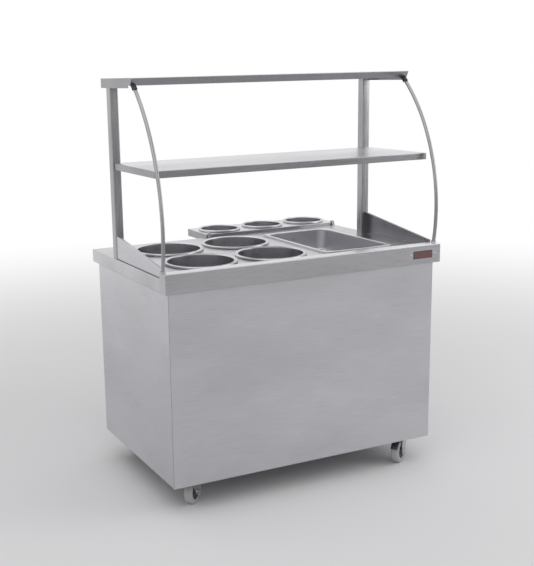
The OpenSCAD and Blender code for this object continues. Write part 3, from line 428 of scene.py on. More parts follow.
black_plastic = finish("black_moulding", (0.022, 0.022, 0.026), 0.0, 0.5, None, scale=500, bump=0.05)
black_paint = finish("black_paint", (0.03, 0.03, 0.034), 0.0, 0.4, None, scale=300, coat=0.1)
plate_maroon = finish("maroon_plate", (0.15, 0.075, 0.08), 0.1, 0.42, ALONG_X, streaks=0.08)
brass = finish("cast_brass", (0.60, 0.43, 0.17), 1.0, 0.4, None, streaks=0.12, scale=250, bump=0.08)
red_dip = finish("red_dip", (0.42, 0.03, 0.025), 0.0, 0.38, None, scale=200, coat=0.3)
foam_board = finish("foam_board", (0.72, 0.66, 0.50), 0.0, 0.85, None, streaks=0.10, scale=350, bump=0.2)
grey_pipe = finish("grey_pipe", (0.33, 0.34, 0.36), 0.0, 0.42, None, streaks=0.05, scale=200)
print(len(bpy.data.materials), "finishes")

# %% [markdown]
# ## What keeps its shape
# The chassis, the tank, the doors with their tracks, the valve and the castors' metal parts only
# get eased edges and a finish, all with the same bevel of 0.4 mm.

# %% Solids with eased edges
stays = {
    "chassis_frame": dark_steel, "base_pan": dark_steel, "back_frame": panel_steel,
    "storage_shelf": panel_steel, "ice_tank": tank_steel, "tank_insulation": foam_board,
    "drain_pipe": grey_pipe, "drain_valve": brass, "valve_lever": red_dip, "shelf_cleats": zinc,
    "ledge_brackets": side_steel, "ledge_hooks": zinc, "door_track_top": dark_steel,
    "door_track_bottom": dark_steel, "door_left": panel_steel, "door_right": panel_steel,
    "door_pull_left": black_plastic, "door_pull_right": black_plastic,
    "castor_plates": zinc, "castor_bolts": zinc,
    "castor_fork_fl": zinc, "castor_fork_fr": zinc, "castor_fork_rl": zinc, "castor_fork_rr": zinc,
    "castor_axle_fl": zinc, "castor_axle_fr": zinc, "castor_axle_rl": zinc, "castor_axle_rr": zinc,
    "brake_pedal_fl": black_paint, "brake_pedal_fr": black_paint,
}
for node, material in stays.items():
    eased(node, material, 0.4 * MM)

# %% [markdown]
# ## The cabinet's panels
# The front panel is one sheet with a short return folded in along its lower edge, and it covers
# the side panels' front edges. They stop 2.5 mm behind it and turn in, so a dark seam shows at the
# corner. Each sheet is a bent section pushed along the edge that it folds about.

# %% Front and side panels
SHEET = 1.5 * MM
FOLD = 12 * MM
BEND = 2 * MM
WIDE_BEND = 2.5 * MM

low, high = corners("front_panel")
front_line = [[low[1] + FOLD, low[2] + SHEET / 2], [low[1] + SHEET / 2, low[2] + SHEET / 2],
              [low[1] + SHEET / 2, high[2]]]
front = Shape().grid(pushed(sheet_section(front_line, BEND, SHEET), low[0], high[0], ALONG_X),
                     close_cols=True, cap_rows=True).piece("front_sheet")
stands_for(front, "front_panel", panel_steel)

SEAM = 2.5 * MM
for side in ("left", "right"):
    low, high = corners("side_panel_" + side)
    outer, inner = (low[0], high[0]) if side == "left" else (high[0], low[0])
    inward = math.copysign(1, inner - outer)
    middle = outer + inward * SHEET / 2
    side_line = [[inner, low[2] + SHEET / 2], [middle, low[2] + SHEET / 2], [middle, high[2]]]
    panel = Shape().grid(pushed(sheet_section(side_line, BEND, SHEET), low[1] + SEAM, high[1], ALONG_Y),
                         close_cols=True, cap_rows=True)
    flange = [[outer + inward * SHEET, low[1] + SEAM], [inner, low[1] + SEAM], [inner, low[1] + SEAM + SHEET],
              [outer + inward * SHEET, low[1] + SEAM + SHEET]]
    panel.grid(pushed(flange, low[2] + FOLD, high[2], ALONG_Z), close_cols=True, cap_rows=True)
    stands_for(panel.piece("side_sheet_" + side), "side_panel_" + side, side_steel)

# %% [markdown]
# ## The deck
# The deck is one sheet with four round holes and a rectangular one, folded down on three sides.
# Its skirt is a closed section carried round the left, the back and the right edge. The flat part
# has holes, which no grid can have, so its border lines are made as loops and filled between.

# %% The deck with its holes and skirt
DECK_CORNER = 4 * MM
HOLE_PLAY = 3 * MM
POTS = "pot_back_left", "pot_front_left", "pot_back_right", "pot_front_right"
deck_low, deck_high = corners("counter_top")
lip_low, lip_high = corners("front_channel")
deck_front = lip_high[1]


def open_outline(width, front_y, back_y, corner, steps=6):
    """The left, back and right side of a rectangle that shrinks, with round corners at the back."""
    angle = np.array([0, 90])[:, None] + np.linspace(0, 90, steps + 1)
    across, along = np.cos(np.radians(angle)).ravel(), np.sin(np.radians(angle)).ravel()
    side = np.repeat([1, -1], steps + 1)

    def shrunk(inset):
        inset = inset[:, None]
        r = np.maximum(corner - inset, 0.05 * MM)
        x = side * (width / 2 - inset - r) + r * across
        y = back_y - inset - r + r * along
        start = np.stack([width / 2 - inset, 0 * inset + front_y], axis=-1)
        end = np.stack([-width / 2 + inset, 0 * inset + front_y], axis=-1)
        return np.concatenate([start, np.stack([x, y], axis=-1), end], axis=1)

    return shrunk


def hole_loops():
    """Outlines of the four pot holes and the pan's well, as arrays of (x, y)."""
    loops = []
    for node in POTS:
        low, high = corners(node)
        middle, radius = (low + high)[:2] / 2, (high - low)[0] / 2 - POT_RIM + HOLE_PLAY
        loops.append(round_outline(radius)(np.zeros(1))[0] + middle)
    low, high = corners("serving_pan")
    size = (high - low)[:2] - 2 * PAN_RIM + 2 * HOLE_PLAY
    loops.append(box_outline(*size, PAN_BODY_CORNER + HOLE_PLAY)(np.zeros(1))[0] + (low + high)[:2] / 2)
    return loops


def filled(border_loops, height):
    """A flat face at one height between an outer loop and the holes in it, and the loops' edges."""
    work = bmesh.new()
    edges = []
    for loop in border_loops:
        ring = [work.verts.new((x, y, height)) for x, y in loop]
        edges += [work.edges.new((ring[k - 1], ring[k])) for k in range(len(ring))]
    bmesh.ops.triangle_fill(work, use_beauty=True, use_dissolve=False, edges=edges)
    work.verts.index_update()
    points = np.array([v.co for v in work.verts])
    faces = [[v.index for v in face.verts] for face in work.faces]
    work.free()
    return points, faces


def punched(shape, outer, holes, top, under):
    """Adds a flat sheet with holes to a shape: a face at each of its two heights, filled between
    the outer loop and the holes, and a wall down each hole."""
    for height in (top, under):
        points, faces = filled([outer] + holes, height)
        shape.points.append(points)
        shape.faces += [[n + shape.count for n in face] for face in faces]
        shape.count += len(points)
    for loop in holes:
        walls = [np.column_stack([loop, np.full(len(loop), height)]) for height in (top, under)]
        shape.grid(np.stack(walls), close_cols=True)


POT_RIM = 13 * MM
PAN_RIM = 12 * MM
PAN_CORNER = 20 * MM
PAN_BODY_CORNER = 48 * MM
FLAT_INSET = 8 * MM                          # from the skirt's outside to the deck's flat part
deck = Shape()
skirt_line = [[FLAT_INSET, deck_high[2] - SHEET / 2], [SHEET / 2, deck_high[2] - SHEET / 2],
              [SHEET / 2, deck_low[2] + SHEET / 2], [FOLD, deck_low[2] + SHEET / 2]]
around = open_outline(deck_high[0] - deck_low[0], deck_front, deck_high[1], DECK_CORNER)
skirt_section = sheet_section(skirt_line, WIDE_BEND, SHEET)
deck.grid(carried(skirt_section, around), cap_cols=True)
flat_edge = around(np.array([FLAT_INSET]))[0]
deck_faces = deck_high[2], deck_high[2] - SHEET
punched(deck, flat_edge, hole_loops(), *deck_faces)
deck.grid(np.stack([np.column_stack([flat_edge[[0, -1]], np.full(2, height)]) for height in deck_faces]))
stands_for(deck.piece("deck_sheet"), "counter_top", deck_steel)

# %% [markdown]
# ## The front lip
# Along the customers' edge a boxed channel stands 23 mm above the deck. It is one bent section
# pushed along the counter, with a plate welded into each end.

# %% The front lip and its ends
lip_wall = lip_high[1] - SHEET / 2
lip_line = [[lip_low[1] + FOLD, lip_low[2] + SHEET / 2], [lip_low[1] + SHEET / 2, lip_low[2] + SHEET / 2],
            [lip_low[1] + SHEET / 2, lip_high[2] - SHEET / 2], [lip_wall, lip_high[2] - SHEET / 2],
            [lip_wall, deck_high[2]]]
lip = Shape()
lip.grid(pushed(sheet_section(lip_line, WIDE_BEND, SHEET), lip_low[0] + SHEET, lip_high[0] - SHEET, ALONG_X),
         close_cols=True, cap_rows=True)
end_line = rounded([lip_low[1:], [lip_high[1], lip_low[2]], lip_high[1:], [lip_low[1], lip_high[2]]],
                   WIDE_BEND, closed=True)
for outer, inner in ((lip_low[0], lip_low[0] + SHEET), (lip_high[0], lip_high[0] - SHEET)):
    lip.grid(pushed(end_line, outer, inner, ALONG_X), close_cols=True, cap_rows=True)
stands_for(lip.piece("front_lip"), "front_channel", band_steel)

# %% [markdown]
# ## Shelves and condiment ledge
# Both shelves are trays folded down all round, with round welded and polished corners, so a
# profile is carried round the outline: from the underside's middle out, down the inner wall, round
# the hem, up the outer wall and over the top bend. The first and the last ring are closed flat.

# %% Trays
def tray(name, node, corner, material, holes=None):
    """A folded tray, open below: one profile carried round its outline, closed above and below."""
    low, high = corners(node)
    width, depth, _ = high - low
    centre = (low + high) / 2
    top, bottom = high[2], low[2]
    flat, hem, hem_top = 6 * MM, 2.2 * MM, bottom + 9 * MM
    outer = rounded([[flat, top], [0, top], [0, bottom], [hem, bottom], [hem, hem_top], [SHEET, hem_top],
                     [SHEET, top - SHEET], [flat, top - SHEET]],
                    [0, 3 * MM, 0.9 * MM, 0.9 * MM, 0.5 * MM, 0.2 * MM, 1.5 * MM, 0])
    shape = Shape()
    outline = box_outline(width, depth, corner)
    around = carried(outer, outline, (centre[0], centre[1], 0))
    shape.grid(around, close_cols=True, cap_rows=not holes)
    if holes:
        punched(shape, around[0, :, :2], holes, top, top - SHEET)
    return stands_for(shape.piece(name), node, material)


SHELF_CORNER = 6 * MM
SMALL_RIM = 11 * MM
SMALL_POTS = "small_pot_left", "small_pot_middle", "small_pot_right"
tray("middle_tray", "middle_shelf", SHELF_CORNER, shelf_steel)
ledge_holes = []
for node in SMALL_POTS:
    low, high = corners(node)
    radius = (high - low)[0] / 2 - SMALL_RIM + HOLE_PLAY
    ledge_holes.append(round_outline(radius, 72)(np.zeros(1))[0] + (low + high)[:2] / 2)
tray("ledge_tray", "condiment_ledge", 3 * MM, shelf_steel, ledge_holes)

# %% [markdown]
# ## The top shelf
# The top shelf is bent another way. Its front edge slopes back under the shelf, down to the bows
# that carry it, so it is one section pushed along the counter, and a deeper plate closes each end.

# %% The top shelf's bent sheet and end plates
TOP_FOLD, TOP_LEAN = 27 * MM, 15 * MM
low, high = corners("top_shelf")
fold_z = high[2] - TOP_FOLD
top_line = [[low[1] + TOP_LEAN, fold_z], [low[1], high[2]], high[1:], [high[1], fold_z]]
top_section = sheet_section(top_line, WIDE_BEND, SHEET, -1)
top = Shape().grid(pushed(top_section, low[0] + SHEET, high[0] - SHEET, ALONG_X),
                   close_cols=True, cap_rows=True)
socket_low, socket_high = corners("bow_sockets")
behind = socket_high[1] + 0.3 * MM
plate_line = [[low[1] + TOP_LEAN, fold_z], [low[1], high[2]], high[1:], [high[1], low[2]], [behind, low[2]],
              [behind, fold_z]]
plate_line = rounded(plate_line, [0, WIDE_BEND, WIDE_BEND, 3 * MM, 3 * MM, 1.5 * MM], closed=True)
for outer, inner in ((low[0], low[0] + SHEET), (high[0], high[0] - SHEET)):
    top.grid(pushed(plate_line, outer, inner, ALONG_X), close_cols=True, cap_rows=True)
stands_for(ease(top.piece("top_sheet"), 0.3 * MM), "top_shelf", shelf_steel)

# %% [markdown]
# ## Pots
# A pot is drawn from one disc. Its rim lies flat on the deck's edge and ends in a small bead. Its
# surface is one profile carried round a circle: from the middle of its bottom up the outside,
# round the bead, over the flat rim and down the inside again.

# %% Round pots
POT_WALL = 1.2 * MM


def pot(node, rim_width, bottom_corner):
    """One drawn pot. Insets are counted from the rim's outer edge inwards, and the bead is an
    ellipse, 4 mm deep and 5 mm high to each side of its middle."""
    low, high = corners(node)
    radius = (high - low)[0] / 2
    centre = (low + high)[:2] / 2
    deep, tall = 4 * MM, 5 * MM
    seat = high[2] - 2 * tall
    flat = high[2] - 1.5 * MM
    outside = rounded([[radius, low[2]], [rim_width, low[2]], [rim_width, flat - POT_WALL],
                       [1.5 * deep, flat - POT_WALL]], [0, bottom_corner, 2 * MM, 0], steps=8)
    angle = np.radians(np.linspace(-75, 235, 25))
    bead = np.column_stack([deep - deep * np.cos(angle), seat + tall + tall * np.sin(angle)])
    wall, floor = rim_width + POT_WALL, low[2] + POT_WALL
    inside = rounded([[2 * deep, flat], [wall, flat], [wall, floor], [radius, floor]],
                     [0, 3 * MM, bottom_corner - POT_WALL, 0], steps=8)
    profile = np.concatenate([outside, bead, inside])
    profile[[0, -1], 0] = radius - 0.2 * MM
    around = carried(profile, round_outline(radius), (*centre, 0))
    shape = Shape().grid(around, close_cols=True, cap_rows=True)
    return stands_for(shape.piece(node + "_drawn"), node, pot_steel)


for node in POTS:
    pot(node, POT_RIM, 20 * MM)
for node in SMALL_POTS:
    pot(node, SMALL_RIM, 20 * MM)

# %% [markdown]
# ## The serving pan
# The pan is a standard one, drawn from a rectangle. Its flat rim has tight corners, but the body
# below has wide ones, as deep drawing needs. So its outline's corner radius changes with the inset,
# from the rim's edge to the wall, and again down to the bottom.

# %% The serving pan
low, high = corners("serving_pan")
inner = PAN_RIM + POT_WALL
draft, lip_drop, bottom_bend = 4 * MM, 7 * MM, 22 * MM
flat_from = inner + 75 * MM                  # where the bottom's flat part starts
outer_line = [[0, high[2] - lip_drop], [0, high[2]], [inner, high[2]], [inner + draft, low[2] + POT_WALL],
              [flat_from, low[2] + POT_WALL]]
under_line = [[flat_from, low[2]], [PAN_RIM + draft, low[2]], [PAN_RIM, high[2] - POT_WALL],
              [POT_WALL, high[2] - POT_WALL], [POT_WALL, high[2] - lip_drop]]
above = rounded(outer_line, [0, 1.8 * MM, 3 * MM, bottom_bend, 0], steps=7)
under = rounded(under_line, [0, bottom_bend + 1 * MM, 1.5 * MM, 0.8 * MM, 0], steps=7)
pan_profile = np.concatenate([under, above])
pan_corners = (np.array([0, PAN_RIM, flat_from]), np.array([PAN_CORNER, PAN_BODY_CORNER, 22 * MM]))
pan_outline = box_outline(*(high - low)[:2], pan_corners, 12)
pan_shape = carried(pan_profile, pan_outline, (*(low + high)[:2] / 2, 0))
pan = Shape().grid(pan_shape, close_cols=True, cap_rows=True)
stands_for(pan.piece("pan_drawn"), "serving_pan", pot_steel)

# %% [markdown]
# ## Posts and end plates
# A post is a rectangular tube with rounded edges. An end plate is a thin sheet with its upper and
# lower edges folded in, and it gets higher towards the post, so its surface runs between two bent
# sections of different height.

# %% Posts and end plates
for side in ("left", "right"):
    node = "post_" + side
    low, high = corners(node)
    wall = 2 * MM
    outline = box_outline(*(high - low)[:2], 4 * MM, 6)
    tube_profile = [[0, low[2]], [0, high[2]], [wall, high[2]], [wall, low[2]]]
    around = carried(tube_profile, outline, (*(low + high)[:2] / 2, 0))
    tube = Shape().grid(around, close_rows=True, close_cols=True)
    stands_for(tube.piece(node + "_tube"), node, upright_steel)

PLATE = 2 * MM
PLATE_RISE = 10 * MM                         # of an end plate's front above the lip
for side in ("left", "right"):
    node = "end_plate_" + side
    low, high = corners(node)
    outward = -1 if side == "left" else 1
    face_x = low[0] if side == "left" else high[0]
    middle = face_x - outward * PLATE / 2
    inner = face_x - outward * FOLD
    # One bent section at each end of the plate, and the surface between them
    sections = []
    for y, top in ((low[1], lip_high[2] + PLATE_RISE), (high[1], high[2])):
        lower, upper = low[2] + PLATE / 2, top - PLATE / 2
        bent = sheet_section([[inner, lower], [middle, lower], [middle, upper], [inner, upper]],
                             WIDE_BEND, PLATE)
        sections.append(np.column_stack([bent[:, 0], np.full(len(bent), y), bent[:, 1]]))
    plate = Shape().grid(np.stack(sections), close_cols=True, cap_rows=True)
    # The right end plate takes the darker copy of the steel, which is painted shade
    stands_for(plate.piece(node + "_sheet"), node, side_steel if side == "left" else shaded_plate_steel)

# %% [markdown]
# ## Bows
# The bows are polished round tubes bent to one arc, which is a small circle carried along a large
# one. Each stands in a bright collar on the lip and ends in a dark socket under the top shelf.

# %% Bows with their sockets and feet
def bow_ends(node):
    """The middle (y, z) of a bow's foot and of its tip, each the mean of the solid's 8 lowest or
    highest points."""
    solid = frame["nodes"][node]
    points = np.zeros(len(solid.data.vertices) * 3)
    solid.data.vertices.foreach_get("co", points)
    points = points.reshape(-1, 3)[:, 1:]
    order = points[:, 1].argsort()
    return points[order[:8]].mean(0), points[order[-8:]].mean(0)


TUBE = 14 * MM
BOW_RADIUS = 700 * MM
COLLAR = 3 * MM                              # how far a socket or a foot stands out round the tube


def bow_centre(foot, tip):
    """The centre of the arc of the bow's radius through two points: from the middle of the chord,
    square to it, by the root of radius squared less half the chord squared."""
    chord = tip - foot
    length = np.linalg.norm(chord)
    away = math.sqrt(BOW_RADIUS ** 2 - (length / 2) ** 2)
    return (foot + tip) / 2 + away * np.array([chord[1], -chord[0]]) / length


def tube_along(x, centre, heights, radius, steps=20):
    """A round tube along an arc in the plane x, between two heights, with level ends."""
    z = np.linspace(*heights, 48)
    y = centre[0] - np.sqrt(BOW_RADIUS ** 2 - (z - centre[1]) ** 2)
    lean = np.arcsin((z - centre[1]) / BOW_RADIUS)
    angle = np.linspace(0, 2 * np.pi, steps, endpoint=False)
    out, across = np.cos(angle), np.sin(angle)
    points = np.zeros((len(z), steps, 3))
    points[..., 0] = x + radius * across
    points[..., 1] = y[:, None] - radius * out * np.cos(lean)[:, None]
    points[..., 2] = z[:, None] + radius * out * np.sin(lean)[:, None]
    for row, level in ((0, heights[0]), (-1, heights[1])):
        points[row, :, 1] += (level - points[row, :, 2]) * math.tan(lean[row])
        points[row, :, 2] = level
    return points


def bow_place(side):
    """Where a bow runs: its plane x and the centre of its arc, from the solids."""
    low, high = corners("bow_" + side)
    x = (low[0] + high[0]) / 2
    foot, tip = bow_ends("bow_" + side)
    return x, bow_centre(foot, tip)


for side in ("left", "right"):
    low, high = corners("bow_" + side)
    x, centre = bow_place(side)
    print("bow", side, "runs about", centre.round(3))
    outer = tube_along(x, centre, (low[2], high[2]), TUBE / 2, 28)
    stands_for(Shape().grid(outer, close_cols=True, cap_rows=True).piece("bow_tube_" + side),
               "bow_" + side, tube_steel)

for node, material in (("bow_sockets", black_plastic), ("bow_feet", zinc)):
    low, high = corners(node)
    ring = Shape()
    for side in ("left", "right"):
        x, centre = bow_place(side)
        collar = tube_along(x, centre, (low[2], high[2]), TUBE / 2 + COLLAR, 28)
        ring.grid(collar, close_cols=True, cap_rows=True)
    stands_for(ring.piece(node + "_turned"), node, material)

# %% [markdown]
# ## Name plate
# The plate on the front band is a small bright strip held by a screw at each end, with a dark red
# field over its middle. The field is left bare.

# %% Name plate
low, high = corners("name_plate")
size = high - low
plate_middle = (low + high) / 2


def upright_plate(width, height, corner, back_y, front_y):
    """A plate with a rounded outline and an eased front edge, standing in the plane of x and z."""
    depth = back_y - front_y
    eased_by = 0.3 * MM
    profile = [[0, 0], [0, depth - eased_by], [eased_by, depth]]
    x, z, forward = np.moveaxis(carried(profile, box_outline(width, height, corner, 6)), -1, 0)
    return np.stack([x + plate_middle[0], back_y - forward, z + plate_middle[2]], axis=-1)


strip = upright_plate(size[0], size[2], 2 * MM, high[1], high[1] - size[1] * 0.6)
detail(Shape().grid(strip, close_cols=True, cap_rows=True).piece("name_strip"), "name_plate", zinc)
field = upright_plate(size[0] * 0.70, size[2] * 0.92, 1 * MM, high[1] - size[1] * 0.5, low[1])
field = Shape().grid(field, close_cols=True, cap_rows=True)
stands_for(field.piece("name_field"), "name_plate", plate_maroon)

# %% [markdown]
# ## Screws
# A screw's head is a low dome: part of a circle carried round its own axis.

# %% The name plate's screws
low, high = corners("name_plate_screws")
head = (high[2] - low[2]) / 2
rise = high[1] - low[1]
heads = Shape()
dome_angle = np.radians(np.linspace(0, 84, 8))
dome = np.column_stack([head - head * np.cos(dome_angle), rise * (0.45 + 0.55 * np.sin(dome_angle))])
for x in (low[0] + head, high[0] - head):
    cap = carried(np.vstack([[0, 0], dome]), round_outline(head, 32))
    cap = np.stack([cap[..., 0] + x, high[1] - cap[..., 2], cap[..., 1] + (low[2] + high[2]) / 2], axis=-1)
    heads.grid(cap, close_cols=True, cap_rows=True)
stands_for(heads.piece("name_screw_heads"), "name_plate_screws", zinc)

# %% [markdown]
# ## Castors
# A castor is a top plate, a pressed fork that turns under it, and a wheel of grey rubber on a
# moulded hub. Every castor stands at its own angle, so each is drawn once about its own swivel
# axis and then turned into place by a matrix that is read from the joints. The forks, plates and
# bolts are eased solids already, so only the wheels are drawn here.

# %% Where a castor stands
CASTORS = {"fl": "front_left", "fr": "front_right", "rl": "rear_left", "rr": "rear_right"}


def castor_matrix(corner):
    """From a castor's own axes (x along its trail, y along its axle, z up, the floor at 0) to the
    frame: the swivel joint gives the place, the rolling joint the direction and the trail."""
    pivot = np.array(joints[CASTORS[corner] + "_swivel"]["pos_m"])
    axle = np.array(joints[CASTORS[corner] + "_roll"]["pos_m"])
    trail = (axle - pivot) * [1, 1, 0]
    length = np.linalg.norm(trail)
    matrix = np.eye(4)
    matrix[:3, 0] = trail / length
    matrix[:3, 1] = np.cross([0, 0, 1], trail / length)
    matrix[:2, 3] = pivot[:2]
    return matrix, length, axle[2]


def turned(profile, radius, steps=72):
    """A profile of (inset, along) turned about the y axis: a wheel lies across the trail."""
    ring = carried(profile, round_outline(radius, steps))
    return np.stack([ring[..., 0], ring[..., 2], ring[..., 1]], axis=-1)


WHEEL_W = 34 * MM
LEG_IN = 20 * MM                             # from the wheel's middle to a fork leg
TYRE_DEEP = 16 * MM
BORE = 5.1 * MM


def wheel(corner):
    """Tyre and hub of one castor, two pieces on the wheel's body."""
    matrix, trail, axle = castor_matrix(corner)
    node = "castor_wheel_" + corner
    radius = axle
    half = WHEEL_W / 2
    side, shoulder, flat = half - 2 * MM, 2.6 * MM, half - 7 * MM
    tread = [[TYRE_DEEP, -side], [shoulder, -half], [0, -flat],
             [0, flat], [shoulder, half], [TYRE_DEEP, side]]
    tread = rounded(tread, [0, 5 * MM, 9 * MM, 9 * MM, 5 * MM, 0], steps=7)
    # The tread is crowned by 0.8 mm, growing with the square of the distance from its middle
    tread[:, 0] += 0.8 * MM * (tread[:, 1] / half) ** 2 * (tread[:, 0] < 4 * MM)
    hub_edge = [[TYRE_DEEP + 2 * MM, side], [TYRE_DEEP + 2 * MM, -side]]
    tyre = turned(np.concatenate([tread, hub_edge]), radius)
    tyre = moved(tyre + [trail, 0, axle], matrix)
    tyre = Shape().grid(tyre, close_rows=True, close_cols=True).piece("tyre_" + corner)
    stands_for(tyre, node, rubber)
    disc, boss = half - 3 * MM, LEG_IN - 0.4 * MM
    side = [[TYRE_DEEP + 0.2 * MM, disc], [20 * MM, disc], [23 * MM, disc - 5 * MM], [33 * MM, disc - 6 * MM],
            [37 * MM, boss], [radius - BORE, boss]]
    side = rounded(side, [0, 1.5 * MM, 2 * MM, 2 * MM, 1 * MM, 0], steps=4)
    hub = turned(np.concatenate([side, side[::-1] * [1, -1]]), radius)
    hub = moved(hub + [trail, 0, axle], matrix)
    detail(Shape().grid(hub, close_rows=True, close_cols=True).piece("hub_" + corner), node, hub_plastic)


for corner in CASTORS:
    wheel(corner)

# %% [markdown]
# ## Surroundings
# Metal shows what is around it. A white room would leave steel flat and white, so the room is
# white behind the counter and fades to a soft grey in front, as where a photographer stands. One
# function gives that brightness from a direction's y, and the floor far away fades into it, so
# that no horizon shows.

# %% Brightness of the room by direction
BEHIND, FRONT = 1.0, 0.57
FALLING = 0.55                               # brightness for light that falls on surfaces


def room(tree, direction):
    """A Map Range node that turns the y of a direction of length 1 into the room's brightness."""
    split = tree.nodes.new("ShaderNodeSeparateXYZ")
    tree.links.new(direction, split.inputs[0])
    bright = ramp(tree, -0.9, 0.1, FRONT, BEHIND)
    bright.interpolation_type = "SMOOTHSTEP"
    tree.links.new(split.outputs["Y"], bright.inputs["Value"])
    return bright.outputs[0]


def shown(tree):
    """1 for rays from the camera, a reflection or a transmission, else 0."""
    path = tree.nodes.new("ShaderNodeLightPath")
    most = path.outputs["Is Camera Ray"]
    for kind in ("Is Glossy Ray", "Is Transmission Ray"):
        larger = tree.nodes.new("ShaderNodeMath")
        larger.operation = "MAXIMUM"
        tree.links.new(most, larger.inputs[0])
        tree.links.new(path.outputs[kind], larger.inputs[1])
        most = larger.outputs[0]
    return most


def chosen(tree, which, dim, bright):
    """dim where which is 0 and bright, an output, where it is 1."""
    choice = tree.nodes.new("ShaderNodeMix")
    tree.links.new(which, choice.inputs["Factor"])
    choice.inputs["A"].default_value = dim
    tree.links.new(bright, choice.inputs["B"])
    return choice.outputs["Result"]


world = bpy.data.worlds.new("studio")
bpy.context.scene.world = world
world.use_nodes = True
tree = world.node_tree
where = tree.nodes.new("ShaderNodeTexCoord")
brightness = chosen(tree, shown(tree), FALLING, room(tree, where.outputs["Generated"]))
tree.links.new(brightness, tree.nodes["Background"].inputs["Strength"])
tree.nodes["Background"].inputs["Color"].default_value = (1, 1, 1, 1)

# %% [markdown]
# ## Floor
# The floor is a plain pale disc. Near the counter it is lit as any surface, so it carries the
# shadow. From 0.9 to 6 metres away it turns into a surface that glows as the room does.

# %% Floor
FADE_FROM, FADE_TO = 0.9, 6.0
rings = np.array([0.5, 1.0, 3.0, 7.0, 30.0])
angle = np.linspace(0, 2 * np.pi, 96, endpoint=False)
across, along = rings[:, None] * np.cos(angle), rings[:, None] * np.sin(angle)
disc = np.stack([across, along, np.zeros_like(across)], axis=-1)
numbers = np.arange(disc[..., 0].size).reshape(len(rings), -1)
ahead = np.roll(numbers, -1, axis=1)
quads = np.stack([numbers[:-1], numbers[1:], ahead[1:], ahead[:-1]], axis=-1).reshape(-1, 4).tolist()
floor_mesh = bpy.data.meshes.new("floor")
floor_mesh.from_pydata(disc.reshape(-1, 3).tolist(), [], quads + [numbers[0].tolist()])
floor = bpy.data.objects.new("floor", floor_mesh)
bpy.context.scene.collection.objects.link(floor)
floor_paint = bpy.data.materials.new("pale_floor")
floor_paint.use_nodes = True
tree = floor_paint.node_tree
paint = tree.nodes["Principled BSDF"]
paint.inputs["Base Color"].default_value = (0.80, 0.80, 0.81, 1)
paint.inputs["Roughness"].default_value = 0.9
paint.inputs["Specular IOR Level"].default_value = 0.0
where = tree.nodes.new("ShaderNodeTexCoord")
away = tree.nodes.new("ShaderNodeVectorMath")
away.operation = "LENGTH"
tree.links.new(where.outputs["Object"], away.inputs[0])
towards = tree.nodes.new("ShaderNodeVectorMath")
towards.operation = "NORMALIZE"
tree.links.new(where.outputs["Object"], towards.inputs[0])
glow = tree.nodes.new("ShaderNodeEmission")
glow_strength = chosen(tree, shown(tree), FALLING, room(tree, towards.outputs[0]))
tree.links.new(glow_strength, glow.inputs["Strength"])
fade = ramp(tree, FADE_FROM, FADE_TO, 0, 1)
fade.interpolation_type = "SMOOTHSTEP"
tree.links.new(away.outputs["Value"], fade.inputs["Value"])
blend = tree.nodes.new("ShaderNodeMixShader")
tree.links.new(fade.outputs[0], blend.inputs[0])
tree.links.new(paint.outputs[0], blend.inputs[1])
tree.links.new(glow.outputs[0], blend.inputs[2])
tree.links.new(blend.outputs[0], tree.nodes["Material Output"].inputs["Surface"])
floor.data.materials.append(floor_paint)
floor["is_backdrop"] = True

# %% [markdown]
# ## Lamps
# Three broad lamps give the soft shadow under the counter and the bright lines along bends and
# rims: one from the front left, a weaker one from the right, and one from above.

# %% Lamps
def lamp(name, place, target, size, power):
    """A soft rectangular lamp that looks at a point."""
    data = bpy.data.lights.new(name, "AREA")
    data.shape = "RECTANGLE"
    data.size, data.size_y = size
    data.energy = power
    made = bpy.data.objects.new(name, data)
    bpy.context.scene.collection.objects.link(made)
    made.location = place
    made.rotation_euler = (Vector(place) - Vector(target)).to_track_quat("Z", "Y").to_euler()
    return made


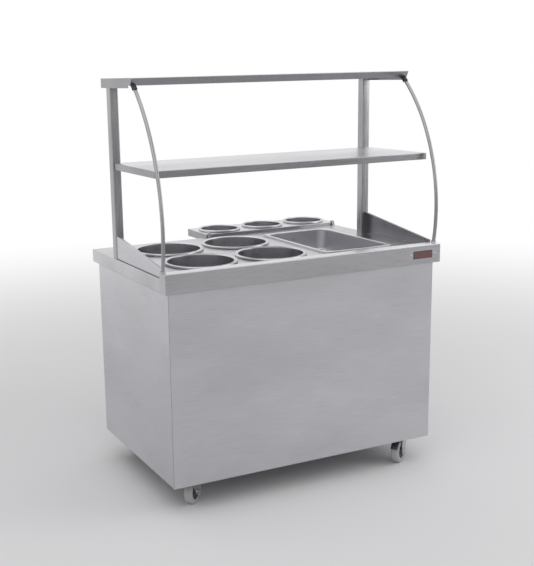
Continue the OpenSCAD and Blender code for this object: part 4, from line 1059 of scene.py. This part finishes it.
lamp("key", (-2.6, -3.0, 3.4), (0, 0, 0.7), (4.4, 3.4), 36)
lamp("fill", (3.2, -2.2, 2.2), (0, 0, 0.7), (2.0, 2.0), 28)
lamp("top", (0, 0.3, 4.0), (0, 0, 0.9), (6.0, 5.0), 40)

# %% [markdown]
# ## Camera
# The photograph was taken from the front left, a little above the deck, with its middle to the
# right of the lens axis. The numbers are the result of fitting a camera to the counter's corners.

# %% Camera at the photograph's angle
IMAGE_W, IMAGE_H = 534, 566
FOCAL_PX = 988.58
AXIS_PX = (203.21, 295.54)
AZIMUTH, ELEVATION, ROLL = (math.radians(a) for a in (-25.06, 12.75, -1.40))
SENSOR = 36.0
PLACE = -1.9189, -3.5208, 1.6228             # metres from the counter's middle, and above the floor
counter_y = (deck_high[1] + lip_low[1]) / 2
camera_data = bpy.data.cameras.new("camera")
camera_data.sensor_width = SENSOR
camera_data.lens = FOCAL_PX * SENSOR / IMAGE_H
camera_data.shift_x = (IMAGE_W / 2 - AXIS_PX[0]) / IMAGE_H
camera_data.shift_y = (AXIS_PX[1] - IMAGE_H / 2) / IMAGE_H
camera = bpy.data.objects.new("camera", camera_data)
bpy.context.scene.collection.objects.link(camera)
bpy.context.scene.camera = camera
back = np.array([math.sin(AZIMUTH) * math.cos(ELEVATION), -math.cos(AZIMUTH) * math.cos(ELEVATION),
                 math.sin(ELEVATION)])
right = np.cross(-back, [0, 0, 1])
right /= np.linalg.norm(right)
up = np.cross(right, -back)
turn = np.eye(4)
turn[:3, 0] = right * math.cos(ROLL) + up * math.sin(ROLL)
turn[:3, 1] = up * math.cos(ROLL) - right * math.sin(ROLL)
turn[:3, 2] = back
turn[:3, 3] = PLACE[0], PLACE[1] + counter_y, PLACE[2]
camera.matrix_world = Matrix(turn.tolist())

bpy.context.scene.view_settings.view_transform = "Standard"

# %% [markdown]
# ## Sizes
# The dressed model is meant to fill the same box as the solids, so its box is printed.

# %% Sizes
low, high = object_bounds()
print("visual box", [round(v, 4) for v in (*low, *high)])
